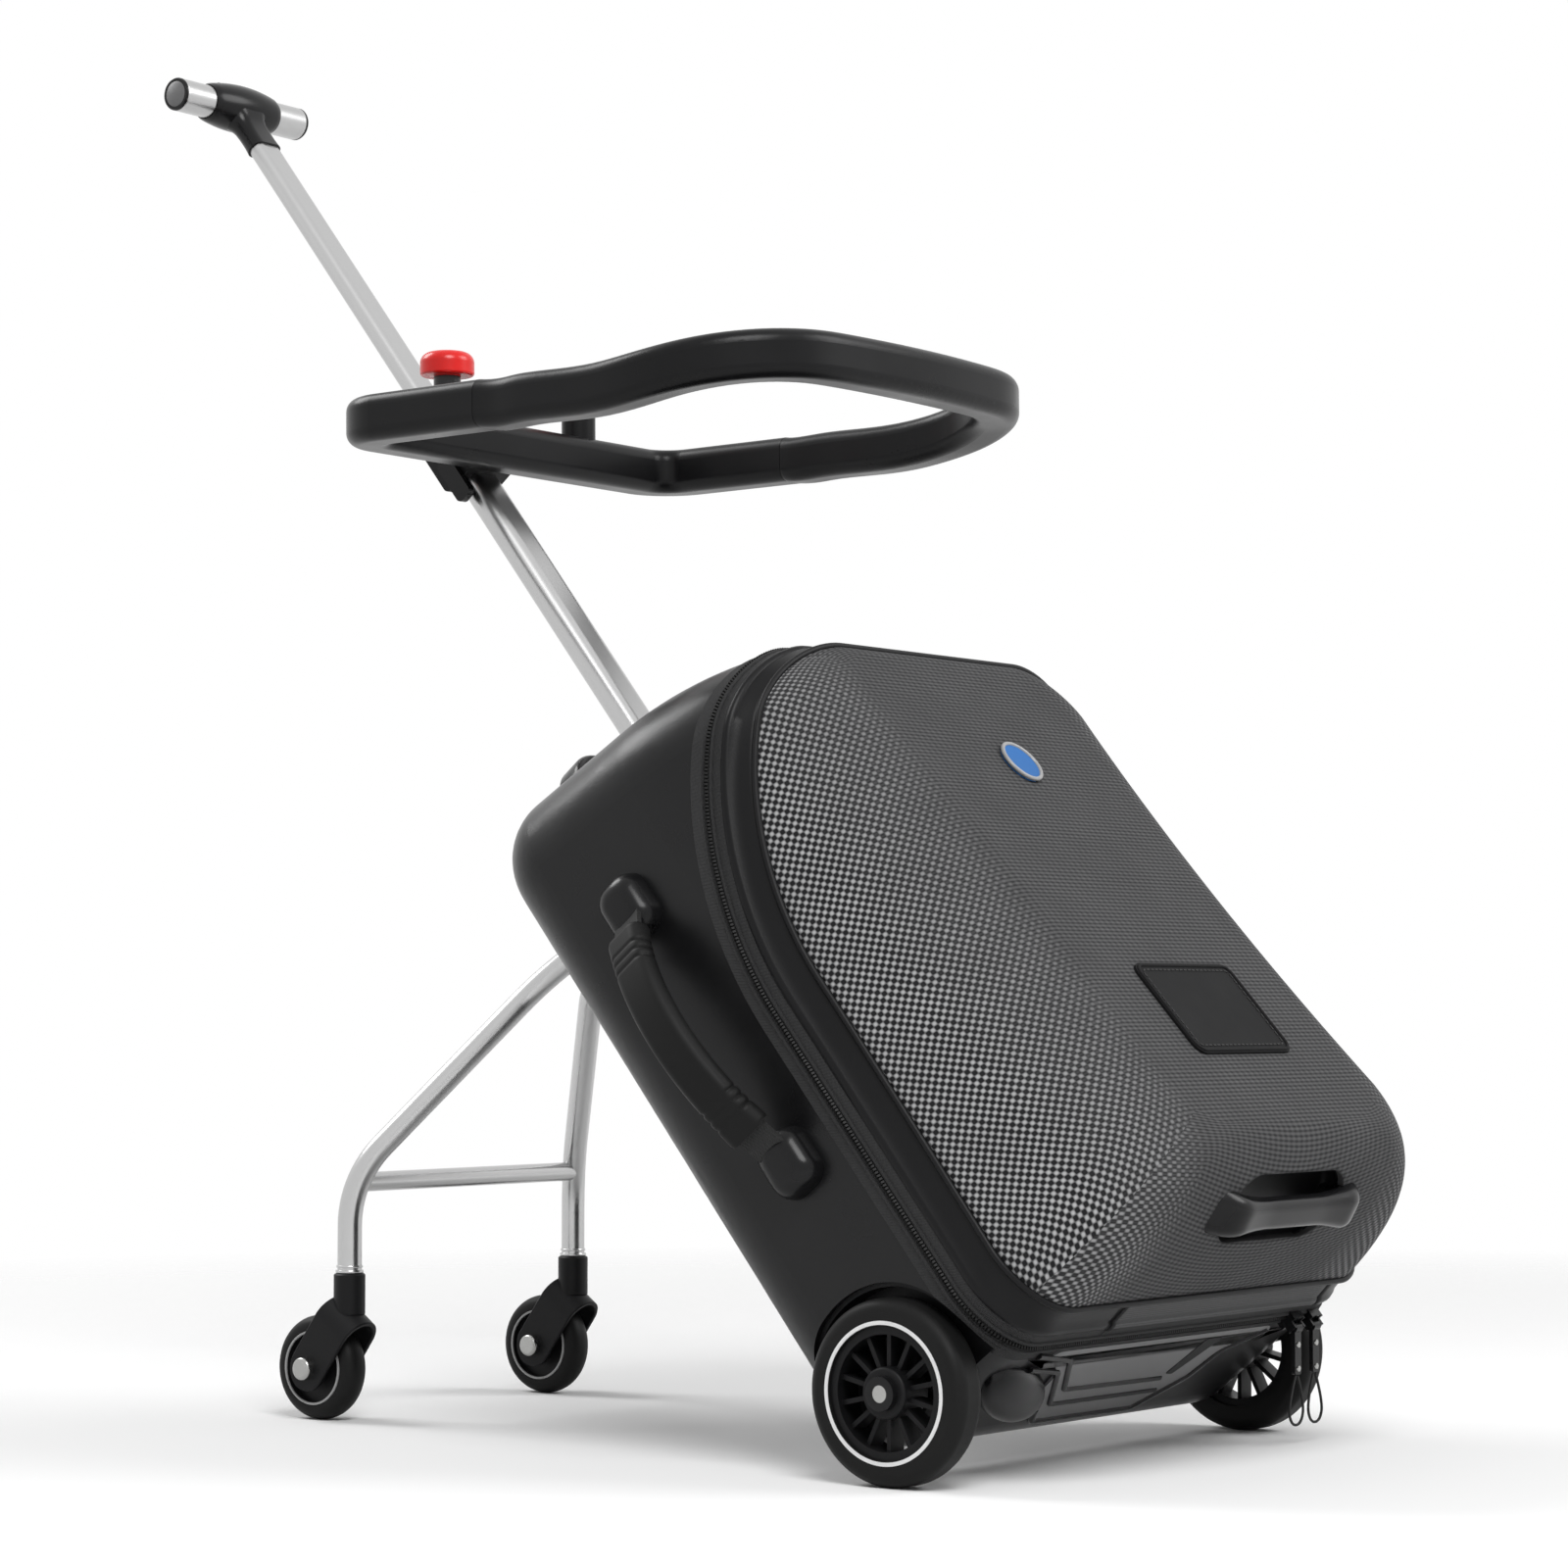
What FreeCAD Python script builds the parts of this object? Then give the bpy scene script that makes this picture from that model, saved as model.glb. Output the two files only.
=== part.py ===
import FreeCAD, Part
import math
import os
import re
import Sketcher
from FreeCAD import Placement, Rotation, Vector

# Ride-on suitcase, millimetres. The floor is Z = 0, X runs to the right, Y to the
# back. The origin lies on the floor below the middle of the big-wheel axle.
# The case itself leans back and is drawn upright in a frame of its own on the axle.

doc = FreeCAD.newDocument("RideOnCase")

SIZES = (
    ("overrun", 40, "how far every cutter runs past what it cuts"),
    ("running_gap", 0.05, "radial play of a turning shaft"),
    ("part_gap", 0.4, "play between pieces that slide or lift apart"),
    ("lean_angle", 38.8, "backward lean of the case in degrees"),
    ("wheel_radius", 50, "big wheel over the tyre"),
    ("wheel_width", 23, "big wheel tyre width"),
    ("wheel_proud", 9.6, "big wheel standing out past the case"),
    ("wheel_round", 7, "rounding of the tyre shoulders"),
    ("rim_radius", 35.5, "big wheel rim, under the tyre"),
    ("rim_deep", 31, "inside of the big wheel rim"),
    ("rim_inset", 2, "rim set back from the tyre faces"),
    ("barrel_radius", 14, "big wheel barrel"),
    ("spoke_wide", 12, "spoke along the axle"),
    ("spoke_thick", 2.6, "spoke across"),
    ("spoke_count", 14, "spokes in a big wheel"),
    ("axle_radius", 5, "stub axle under the wheel"),
    ("axle_root", 6, "stub axle in its boss"),
    ("axle_collar", 9, "stub axle shoulder"),
    ("axle_head", 8.5, "stub axle head"),
    ("axle_head_thick", 3, "thickness of the head"),
    ("boss_long", 40, "axle boss inside the wheel arch"),
    ("case_half", 184, "half width of the case"),
    ("case_back", 52, "back face behind the axle"),
    ("case_low", -20, "underside against the axle"),
    ("case_high", 430, "top of the case at the back"),
    ("case_slope_share", 0.12, "fall of the top towards the front"),
    ("case_corner", 50, "upper corner rounding of the case"),
    ("case_corner_low", 40, "lower corner rounding of the case"),
    ("case_round", 37, "rounding round the back face"),
    ("case_wall", 4, "wall of shell and lid"),
    ("front_half", 106, "half width of the flat lid front"),
    ("front_depth", 189, "lid front before the axle at mid height"),
    ("front_mid", 200, "height where the lid depth is taken"),
    ("front_tilt_angle", 3.2, "tilt of the lid front in degrees"),
    ("front_rise", 43, "lid front rising from the underside"),
    ("front_fall", 25, "lid front dropping from the top"),
    ("front_corner", 34, "corner rounding of the lid front"),
    ("front_waist", 12, "lid sides drawn in at mid height"),
    ("belly_drop", 2, "lid bulging below the underside"),
    ("split_depth", 64, "zip line before the axle"),
    ("split_corner", 345.2, "height where the zip line turns forward"),
    ("split_radius", 248, "curve of the zip line"),
    ("split_rise", 200, "climb of the zip line past the turn"),
    ("split_run", 346.4, "forward run of the zip line past the turn"),
    ("split_gap", 0.8, "open gap along the zip"),
    ("tape_wide", 11, "zip tape on either side"),
    ("tape_thick", 0.9, "zip tape proud of the wall"),
    ("rim_band", 32, "hard band of the lid before the zip"),
    ("arch_radius", 58, "wheel arch"),
    ("arch_deep", 18, "depth of the wheel arch"),
    ("arch_wall", 2.5, "wall of the arch liner"),
    ("boss_radius", 16, "axle boss in the case"),
    ("plate_half", 112, "half width of the base plate"),
    ("plate_front", 52, "base plate before the axle"),
    ("plate_back", 8, "base plate behind the axle"),
    ("plate_thick", 6, "base plate"),
    ("plate_round", 12, "base plate corners"),
    ("plate_groove", 7, "width of the plate grooves"),
    ("plate_groove_deep", 2.2, "depth of the plate grooves"),
    ("foot_out", 96, "foot from the middle"),
    ("foot_radius", 13, "foot under the base plate"),
    ("foot_drop", 9, "foot below the base plate"),
    ("foot_round", 5, "rounding of the foot"),
    ("pole_back", 16, "pole behind the axle"),
    ("lower_wide", 30, "lower pole tube across"),
    ("lower_deep", 16, "lower pole tube front to back"),
    ("lower_wall", 1.5, "lower pole tube wall"),
    ("lower_start", 258, "lower pole tube, lower end"),
    ("lower_end", 738, "lower pole tube, upper end"),
    ("upper_wide", 24, "upper pole tube across"),
    ("upper_deep", 12, "upper pole tube front to back"),
    ("upper_wall", 1.2, "upper pole tube wall"),
    ("upper_start", 530, "upper pole tube, lower end"),
    ("upper_end", 1040, "upper pole tube, upper end"),
    ("well_half", 21, "half width of the pole housing"),
    ("well_start", 90, "pole housing, lower end"),
    ("well_stop", 22, "pole housing ending below the top of the case"),
    ("well_wall", 5, "pole housing wall"),
    ("collar_wide", 52, "pole collar across"),
    ("collar_deep", 36, "pole collar front to back"),
    ("collar_rise", 3, "pole collar over the top of the case"),
    ("tee_height", 1053, "axis of the cross bar along the pole"),
    ("tee_radius", 11, "cross bar"),
    ("tee_core", 9, "cross bar inside the sleeve"),
    ("tee_half", 58, "half length of the cross bar"),
    ("tee_sleeve", 15, "middle sleeve on the cross bar"),
    ("tee_sleeve_half", 30, "half length of the middle sleeve"),
    ("tee_sleeve_edge", 12.6, "middle sleeve at its ends"),
    ("neck_wide", 32, "handle neck across at the sleeve"),
    ("neck_deep", 22, "handle neck front to back at the sleeve"),
    ("neck_foot_wide", 29, "handle neck across at its foot"),
    ("neck_foot_deep", 17, "handle neck front to back at its foot"),
    ("neck_start", 1000, "foot of the handle neck"),
    ("trigger_wide", 22, "handle release across"),
    ("trigger_deep", 9, "handle release front to back"),
    ("trigger_rise", 4.5, "handle release proud of the sleeve"),
    ("trigger_sink", 4, "handle release inside the sleeve"),
    ("trigger_travel", 2.5, "press of the handle release"),
    ("guard_low", 592.9, "underside of the guard ring at the back"),
    ("guard_back", 438.5, "outer back of the guard ring"),
    ("guard_tilt_angle", 0.6, "front of the guard ring lifted, degrees"),
    ("guard_high", 28.8, "guard ring bar height"),
    ("guard_wide", 28.7, "guard ring bar width"),
    ("guard_edge", 8, "rounding of the guard ring bar"),
    ("guard_half", 165, "outer half width of the ring"),
    ("guard_long", 335, "guard ring, back to front"),
    ("guard_corner", 40, "outer back corners of the ring"),
    ("guard_corner_front", 97, "outer front corners of the ring"),
    ("guard_split", 123.5, "joint of the ring halves from the back"),
    ("guard_rise", 16, "front of the ring stepping up"),
    ("guard_rise_start", 198, "ring begins to step up, from the back"),
    ("guard_rise_end", 332, "ring stepped up to the full, from the back"),
    ("tongue_wide", 15, "tongue of the front half"),
    ("tongue_high", 13, "height of the tongue"),
    ("tongue_long", 58, "tongue inside the back half"),
    ("tongue_root", 12, "tongue inside the front half"),
    ("socket_long", 62, "socket in the back half"),
    ("clamp_half", 20, "half width of the pole clamp"),
    ("clamp_start", 704, "pole clamp along the pole, lower end"),
    ("clamp_mid", 722, "pole clamp along the pole, top of its front"),
    ("clamp_end", 746, "pole clamp along the pole, upper end"),
    ("clamp_front", 34, "pole clamp before the pole axis"),
    ("clamp_behind", 13, "pole clamp behind the pole axis"),
    ("clamp_wall", 4, "pole clamp wall round the pole"),
    ("clamp_round", 4, "corners of the pole clamp"),
    ("lever_long", 26, "clamp lever"),
    ("lever_wide", 12, "width of the clamp lever"),
    ("lever_thick", 5, "thickness of the clamp lever"),
    ("lever_pin", 2.5, "clamp lever pivot"),
    ("lever_height", 714, "clamp lever pivot along the pole"),
    ("button_out", 64, "red button from the middle"),
    ("button_cap", 17, "red button cap"),
    ("button_cap_high", 15, "height of the red cap"),
    ("button_cap_round", 7, "rounding of the red cap"),
    ("button_stem", 8.5, "red button stem"),
    ("button_sleeve", 11, "sleeve of the red button"),
    ("button_sleeve_high", 17, "sleeve above the ring"),
    ("button_gap", 8, "cap above its sleeve"),
    ("button_sink", 10, "stem below the ring top"),
    ("leg_radius", 7.5, "leg tube"),
    ("leg_wall", 1.2, "leg tube wall"),
    ("leg_out", 107, "caster from the middle"),
    ("leg_back", 463, "caster stem behind the axle"),
    ("leg_foot", 91, "lower end of the leg tube"),
    ("leg_knee", 148, "leg turns inward"),
    ("leg_knee_bend", 70, "bend at the knee"),
    ("leg_hip_out", 26, "leg at the upper bend from the middle"),
    ("leg_hip_back", 380, "leg at the upper bend behind the axle"),
    ("leg_hip", 268, "height of the upper bend"),
    ("leg_hip_bend", 60, "upper bend"),
    ("leg_top_out", 20, "leg at its top from the middle"),
    ("leg_top_reach", 19, "top of the leg from the hinge"),
    ("leg_tie_radius", 6, "cross tube"),
    ("hinge_back", 68, "leg hinge behind the axle, in the case frame"),
    ("hinge_drop", 30, "leg hinge below the top of the case"),
    ("hinge_pin", 4, "leg hinge pin"),
    ("hinge_half", 30, "half width of the leg hinge block"),
    ("hinge_eye", 11, "leg hinge block round the pin"),
    ("hinge_reach", 34, "leg hinge block along the legs"),
    ("lug_thick", 7, "hinge bracket lug"),
    ("lug_eye", 10, "hinge bracket round the pin"),
    ("lug_high", 46, "hinge bracket along the back"),
    ("bracket_thick", 4, "hinge bracket plate"),
    ("caster_radius", 32, "caster wheel"),
    ("caster_width", 18.6, "caster wheel width"),
    ("caster_round", 4, "rounding of the caster tyre"),
    ("caster_rim", 24, "caster wheel under the tyre"),
    ("caster_trail", 22.4, "caster wheel behind its stem"),
    ("caster_bolt", 4, "caster wheel bolt"),
    ("caster_bolt_head", 7, "caster bolt head"),
    ("caster_bolt_half", 20.2, "half length of the caster bolt"),
    ("fork_half", 14.5, "outside of the fork cheeks"),
    ("fork_slot_half", 10.5, "inside of the fork cheeks"),
    ("fork_hood", 38, "fork hood over the wheel"),
    ("fork_room", 34.5, "room for the wheel under the hood"),
    ("fork_shoulder", 22, "rounding of the hood"),
    ("fork_tip", 13, "fork below the wheel bolt"),
    ("fork_heel", 4, "hood behind the wheel bolt"),
    ("sleeve_radius", 10, "fork sleeve"),
    ("sleeve_start", 30, "fork sleeve, above the wheel centre"),
    ("sleeve_end", 58.5, "top of the fork sleeve above the wheel centre"),
    ("stem_radius", 5, "caster stem"),
    ("stem_end", 84, "top of the stem above the wheel centre"),
    ("bush_end", 118, "top of the stem bush"),
    ("side_forward", 24, "side handle before the axle"),
    ("side_upper", 312, "upper mount of the side handle"),
    ("side_lower", 134, "lower mount of the side handle"),
    ("side_bow", 40, "side strap standing off the case"),
    ("side_turn_angle", 43, "half angle of the side strap"),
    ("side_mount_wide", 30, "side handle mount across"),
    ("side_mount_long", 34, "side handle mount along the case"),
    ("side_mount_high", 13, "side handle mount off the case"),
    ("side_mount_round", 6, "side handle mount corners"),
    ("side_mount_taper_angle", 14, "side handle mount drawn in outward, degrees"),
    ("side_strap_wide", 20, "strap of the side handle"),
    ("side_strap_thick", 3, "thickness of the strap"),
    ("side_grip_wide", 27, "side grip across"),
    ("side_grip_thick", 15, "side grip thickness"),
    ("side_grip_angle", 31, "half angle of the side grip"),
    ("top_half", 66, "half length of the top handle"),
    ("top_back", 35, "top handle behind the axle"),
    ("top_rise", 35, "axis of the top handle over the top of the case"),
    ("top_radius", 7, "top handle"),
    ("top_bend", 20, "bend of the top handle"),
    ("top_foot", 12, "foot of the top handle"),
    ("top_foot_rise", 4, "handle feet over the top of the case"),
    ("front_handle_half", 68, "half length of the front handle"),
    ("front_handle_depth", 160, "front handle before the axle"),
    ("front_handle_drop", 6.5, "front handle below the axle"),
    ("front_handle_reach", 7, "front handle standing off the lid"),
    ("front_handle_root", 34, "front handle feet into the lid"),
    ("front_handle_angle", 67, "front handle facing down, degrees"),
    ("front_handle_wide", 18, "front handle across"),
    ("front_handle_thick", 10, "front handle thickness"),
    ("front_handle_round", 4.5, "rounding of the front handle"),
    ("front_handle_bend", 14, "bend of the front handle"),
    ("recess_half", 60, "half length of the finger room behind the front handle"),
    ("recess_high", 44, "finger room across"),
    ("recess_deep", 12, "depth of the finger room"),
    ("label_half", 51, "half width of the label"),
    ("label_low", 70, "lower edge of the label"),
    ("label_high", 136, "upper edge of the label"),
    ("label_round", 8, "corners of the label"),
    ("label_thick", 1.6, "thickness of the label"),
    ("badge_radius", 14, "round badge"),
    ("badge_drop", 137, "badge below the top of the case"),
    ("badge_thick", 2.4, "thickness of the badge"),
    ("slider_first", 125, "first zip slider from the middle"),
    ("slider_pitch", 21, "second slider past the first"),
    ("slider_half", 6, "half width of a slider"),
    ("slider_long", 11, "slider across the zip"),
    ("slider_high", 5, "slider off the tape"),
    ("slider_eye", 2.8, "round the pull pin"),
    ("slider_pin", 1.2, "pull pin"),
    ("slider_drop", 9, "pull pin below the case wall"),
    ("pull_half", 3.6, "half width of a pull"),
    ("pull_thick", 2.6, "thickness of a pull"),
    ("pull_long", 27, "pull below its pin"),
    ("pull_hole", 1.6, "cord hole of a pull"),
    ("cord_radius", 0.8, "pull cord"),
    ("cord_drop", 29, "pull cord below the pull"),
    ("cord_loop", 10, "half width of the cord loop"),
    ("oval_share", 0.499, "end rounding of a flat oval, of its depth"),
    ("eye_share", 0.9, "rounding of an eye, of its reach"),
    ("grip_share", 0.47, "rounding of the side grip, of its thickness"),
    ("groove_share", 1.4, "plate grooves off the middle, of their width"),
    ("cord_share", 0.45, "part of a run taken up by a bend of the cord"),
)
WORKED_OUT = (
    ("wheel_out", "=case_half + wheel_proud", "outer face of the big wheel from the middle"),
    ("arch_in", "=case_half - arch_deep", "inner wall of the wheel arch"),
    ("axle_in", "=arch_in - boss_long", "inner end of the stub axle"),
    ("well_end", "=case_high - well_stop", "pole housing, upper end"),
    ("collar_end", "=case_high + collar_rise", "top of the pole collar"),
    ("hinge_height", "=case_high - hinge_drop", "leg hinge along the case"),
    ("top_height", "=case_high + top_rise", "axis of the top handle"),
    ("top_foot_end", "=case_high + top_foot_rise", "top of the handle feet"),
    ("badge_height", "=case_high - badge_drop", "badge along the case"),
    ("side_curve", "=(side_upper - side_lower) / 2 / sin(side_turn_angle)", "curve of the side strap"),
)

sheet = doc.addObject("Spreadsheet::Sheet", "Sizes")
for row, (alias, amount, note) in enumerate(SIZES + WORKED_OUT, start=1):
    sheet.set("A%d" % row, note)
    sheet.set("B%d" % row, str(amount))
    sheet.setAlias("B%d" % row, alias)
doc.recompute()
NAMES = frozenset(entry[0] for entry in SIZES + WORKED_OUT)
nodes = []


def q(text):
    """Names of sizes in a text become references to the sheet."""
    return re.sub(
        r"[a-z][a-z_0-9]*",
        lambda word: "Sizes." + word.group() if word.group() in NAMES else word.group(),
        text,
    )


def n(text):
    """The number that a text over the sizes comes to."""
    return float(sheet.evalExpression(q(text)))


def bind(thing, **fields):
    for field, text in fields.items():
        thing.setExpression(field, q(text))
    return thing


def spot(x, y, z):
    return Vector(n(x), n(y), n(z))


def node(label, thing, frame=None):
    """A finished sub-part: its label is the name of its file."""
    doc.recompute()
    thing.Label = label
    if frame is not None:
        thing.Placement = frame.multiply(thing.Placement)
    nodes.append(thing)
    return thing


def box(x, y, z):
    thing = bind(
        doc.addObject("Part::Box", "Block"),
        Length="(%s) - (%s)" % (x[1], x[0]),
        Width="(%s) - (%s)" % (y[1], y[0]),
        Height="(%s) - (%s)" % (z[1], z[0]),
    )
    thing.Placement.Base = spot(x[0], y[0], z[0])
    return thing


def rod(radius, length, base, along):
    thing = bind(doc.addObject("Part::Cylinder", "Rod"), Radius=radius, Height=length)
    thing.Placement = Placement(base, Rotation(Vector(0, 0, 1), along))
    return thing


def cut(base, *tools):
    thing = base
    for tool in tools:
        step = doc.addObject("Part::Cut", "Cut")
        step.Base = thing
        step.Tool = tool
        thing = step
    return thing


def fuse(*pieces):
    thing = doc.addObject("Part::MultiFuse", "Fuse")
    thing.Shapes = list(pieces)
    return thing


def common(base, tool):
    thing = doc.addObject("Part::Common", "Common")
    thing.Base = base
    thing.Tool = tool
    return thing


def corner_run(points, radii, closed):
    """Tangent points, centre and middle of the arc at each corner of a run."""
    count = len(points)
    corners = []
    for index, point in enumerate(points):
        radius = radii[index]
        ends = index in (0, count - 1) and not closed
        if radius == 0 or ends:
            corners.append((point, point, None, None))
            continue
        coming = (point - points[index - 1]).normalize()
        going = (points[(index + 1) % count] - point).normalize()
        half = coming.getAngle(going) / 2
        reach = radius * math.tan(half)
        inward = (going - coming).normalize()
        centre = point + inward * (radius / math.cos(half))
        corners.append((point - coming * reach, point + going * reach, centre, centre - inward * radius))
    return corners


def track(points):
    """A run of straights and tangent bends; each point is (vector, bend text)."""
    places = [place for place, bend in points]
    corners = corner_run(places, [n(bend) for place, bend in points], False)
    edges = []
    for index, (start, end, centre, middle) in enumerate(corners):
        if centre is not None:
            edges.append(Part.Arc(start, middle, end).toShape())
        if index + 1 < len(corners):
            edges.append(Part.makeLine(end, corners[index + 1][0]))
    thing = doc.addObject("Part::Feature", "Track")
    thing.Shape = Part.Wire(edges)
    return thing


def sweep(section, spine):
    thing = doc.addObject("Part::Sweep", "Sweep")
    thing.Sections = [section]
    thing.Spine = (spine, ["Edge%d" % (i + 1) for i in range(len(spine.Shape.Edges))])
    thing.Solid = True
    return thing


def tube(points, radius):
    """A round bar along a run."""
    spine = track(points)
    ring = bind(doc.addObject("Part::Circle", "Ring"), Radius=radius)
    along = points[1][0] - points[0][0]
    ring.Placement = Placement(points[0][0], Rotation(Vector(0, 0, 1), along))
    return sweep(ring, spine)


def fix_point(sketch, geo, pos, x, y):
    """Ties a sketch point to the origin by two sizes."""
    for kind, text, axis in (("DistanceX", x, -2), ("DistanceY", y, -1)):
        amount = n(text)
        if abs(amount) < 1e-9:
            sketch.addConstraint(Sketcher.Constraint("PointOnObject", geo, pos, axis))
            continue
        if amount > 0:
            tie = Sketcher.Constraint(kind, -1, 1, geo, pos, amount)
        else:
            tie = Sketcher.Constraint(kind, geo, pos, -1, 1, -amount)
            text = "-(%s)" % text
        place = sketch.addConstraint(tie)
        sketch.setExpression("Constraints[%d]" % place, q(text))


def outline(sketch, points):
    """A closed outline of (x, y[, rounding]) texts."""
    places = [Vector(n(point[0]), n(point[1]), 0) for point in points]
    rounds = [point[2] if len(point) > 2 else None for point in points]
    corners = corner_run(places, [n(text) if text else 0 for text in rounds], True)
    count = len(points)
    lines = []
    for index in range(count):
        start = corners[index][1]
        end = corners[(index + 1) % count][0]
        lines.append(sketch.addGeometry(Part.LineSegment(start, end)))
    for index, (start, end, centre, middle) in enumerate(corners):
        before = lines[index - 1]
        after = lines[index]
        if centre is None:
            sketch.addConstraint(Sketcher.Constraint("Coincident", before, 2, after, 1))
            fix_point(sketch, after, 1, points[index][0], points[index][1])
            continue
        left = (end - start).cross(middle - start).z < 0
        first, last = (start, end) if left else (end, start)
        begin = math.atan2(first.y - centre.y, first.x - centre.x)
        finish = math.atan2(last.y - centre.y, last.x - centre.x)
        if finish < begin:
            finish += 2 * math.pi
        ring = Part.Circle(centre, Vector(0, 0, 1), n(rounds[index]))
        bend = sketch.addGeometry(Part.ArcOfCircle(ring, begin, finish))
        into, out = (1, 2) if left else (2, 1)
        sketch.addConstraint(Sketcher.Constraint("Tangent", before, 2, bend, into))
        sketch.addConstraint(Sketcher.Constraint("Tangent", bend, out, after, 1))
        size = sketch.addConstraint(Sketcher.Constraint("Radius", bend, n(rounds[index])))
        sketch.setExpression("Constraints[%d]" % size, q(rounds[index]))
        mark = sketch.addGeometry(Part.Point(places[index]), True)
        fix_point(sketch, mark, 1, points[index][0], points[index][1])
        sketch.addConstraint(Sketcher.Constraint("PointOnObject", mark, 1, before))
        sketch.addConstraint(Sketcher.Constraint("PointOnObject", mark, 1, after))
    return sketch


def new_body():
    return doc.addObject("PartDesign::Body", "Body")


def drawn(body, plane, points):
    sketch = body.newObject("Sketcher::SketchObject", "Sketch")
    faces = [face for face in body.Origin.OriginFeatures if face.Role == plane]
    sketch.AttachmentSupport = [(faces[0], "")]
    sketch.MapMode = "FlatFace"
    doc.recompute()
    return outline(sketch, points)


def spun(body, points):
    """Turns an outline of (along, radius) about the body's X axis."""
    turn = body.newObject("PartDesign::Revolution", "Turn")
    turn.Profile = drawn(body, "XY_Plane", points)
    turn.ReferenceAxis = (turn.Profile[0], ["H_Axis"])
    turn.Angle = 360
    doc.recompute()
    return body


def padded(body, plane, points, length, both=True, back=False):
    """Pads an outline, to both sides of its plane or to one."""
    pad = body.newObject("PartDesign::Pad", "Pad")
    pad.Profile = drawn(body, plane, points)
    if both:
        pad.SideType = "Symmetric"
    pad.Reversed = back
    bind(pad, Length=length)
    doc.recompute()
    return body


def pocketed(body, plane, points, length):
    pocket = body.newObject("PartDesign::Pocket", "Pocket")
    pocket.Profile = drawn(body, plane, points)
    pocket.SideType = "Symmetric"
    bind(pocket, Length=length)
    doc.recompute()
    return body


def oval(wide, deep, start, end, back="0"):
    """An upright bar of flat-oval section."""
    body = new_body()
    side = "(%s) / 2" % wide
    face = "(%s) / 2" % deep
    almost = "(%s) * oval_share" % deep
    points = [
        ("-" + side, "-" + face, almost),
        (side, "-" + face, almost),
        (side, face, almost),
        ("-" + side, face, almost),
    ]
    padded(body, "XY_Plane", points, "(%s) - (%s)" % (end, start), both=False)
    body.Placement.Base = spot("0", back, start)
    return body


CASE = Placement(spot("0", "0", "wheel_radius"), Rotation(Vector(1, 0, 0), -n("lean_angle")))
GUARD = Placement(spot("0", "guard_back", "guard_low"), Rotation(Vector(1, 0, 0), -n("guard_tilt_angle")))
SIDES = (("left", -1), ("right", 1))
ACROSS = Vector(1, 0, 0)
UP = Vector(0, 0, 1)
SHOULDER_ANGLES = (0, 22, 42, 58, 72, 82, 90)


def case_section(inset, angle, depth=None):
    """One closed section of the case, at an angle round the lid's shoulder."""
    turn = math.radians(angle)
    ahead = math.sin(turn)
    shrink = 1 - math.cos(turn)
    if depth is None:
        depth = n("split_depth") + (n("front_depth - split_depth") - inset) * ahead
    half = n("case_half") - n("case_half - front_half") * shrink - inset
    low = n("case_low") + n("front_rise") * shrink - n("belly_drop") * math.sin(2 * turn) ** 2 + inset
    sloped = n("case_slope_share") * (depth + n("case_back"))
    high = n("case_high") - sloped - n("front_fall") * shrink - inset
    bend = n("case_corner") - n("case_corner - front_corner") * shrink - inset
    foot = n("case_corner_low") - n("case_corner_low - front_corner") * shrink - inset
    waist = n("front_waist") * ahead
    tilt = math.tan(math.radians(n("front_tilt_angle"))) * ahead
    middle = (low + foot + high - bend) / 2
    slant = bend * (1 - math.sqrt(0.5))
    dip = foot * (1 - math.sqrt(0.5))

    def at(x, z):
        return Vector(x, -(depth + (n("front_mid") - z) * tilt), z)

    def arc(first, through, last):
        return Part.Arc(at(*first), at(*through), at(*last)).toShape()

    def side(sign, start, end):
        first = (sign * half, start)
        last = (sign * half, end)
        if waist == 0:
            return Part.makeLine(at(*first), at(*last))
        return arc(first, (sign * (half - waist), middle), last)

    edges = [
        Part.makeLine(at(-half + foot, low), at(half - foot, low)),
        arc((half - foot, low), (half - dip, low + dip), (half, low + foot)),
        side(1, low + foot, high - bend),
        arc((half, high - bend), (half - slant, high - slant), (half - bend, high)),
        Part.makeLine(at(half - bend, high), at(-half + bend, high)),
        arc((-half + bend, high), (-half + slant, high - slant), (-half, high - bend)),
        side(-1, high - bend, low + foot),
        arc((-half, low + foot), (-half + dip, low + dip), (-half + foot, low)),
    ]
    thing = doc.addObject("Part::Feature", "Section")
    thing.Shape = Part.Wire(edges)
    return thing


def loft(sections, ruled):
    thing = doc.addObject("Part::Loft", "Loft")
    thing.Sections = sections
    thing.Solid = True
    thing.Ruled = ruled
    return thing


def case_form(inset_text):
    """The whole outer form of the case, drawn in by an inset."""
    inset = n(inset_text)
    behind = case_section(inset, 0, inset - n("case_back"))
    rear = loft([behind, case_section(inset, 0)], True)
    front = loft([case_section(inset, angle) for angle in SHOULDER_ANGLES], False)
    doc.recompute()
    edge = n("case_round") - inset
    rounded = doc.addObject("Part::Fillet", "Rounded")
    rounded.Base = rear
    chosen = []
    for index, line in enumerate(rear.Shape.Edges, start=1):
        box_of = line.BoundBox
        if box_of.YMin > n("case_back") - inset - n("part_gap"):
            chosen.append((index, edge, edge))
    rounded.Edges = chosen
    return fuse(rounded, front)


def behind_split(shift):
    """Everything behind the zip line moved forward by a shift."""
    body = new_body()
    front = "-(split_depth + %s)" % shift
    points = [
        ("case_back + overrun", "case_low - overrun"),
        (front, "case_low - overrun"),
        (front, "split_corner", "split_radius"),
        ("%s - split_run" % front, "split_corner + split_rise"),
        ("case_back + overrun", "split_corner + split_rise"),
    ]
    return padded(body, "YZ_Plane", points, "2 * (case_half + overrun)")


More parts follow.
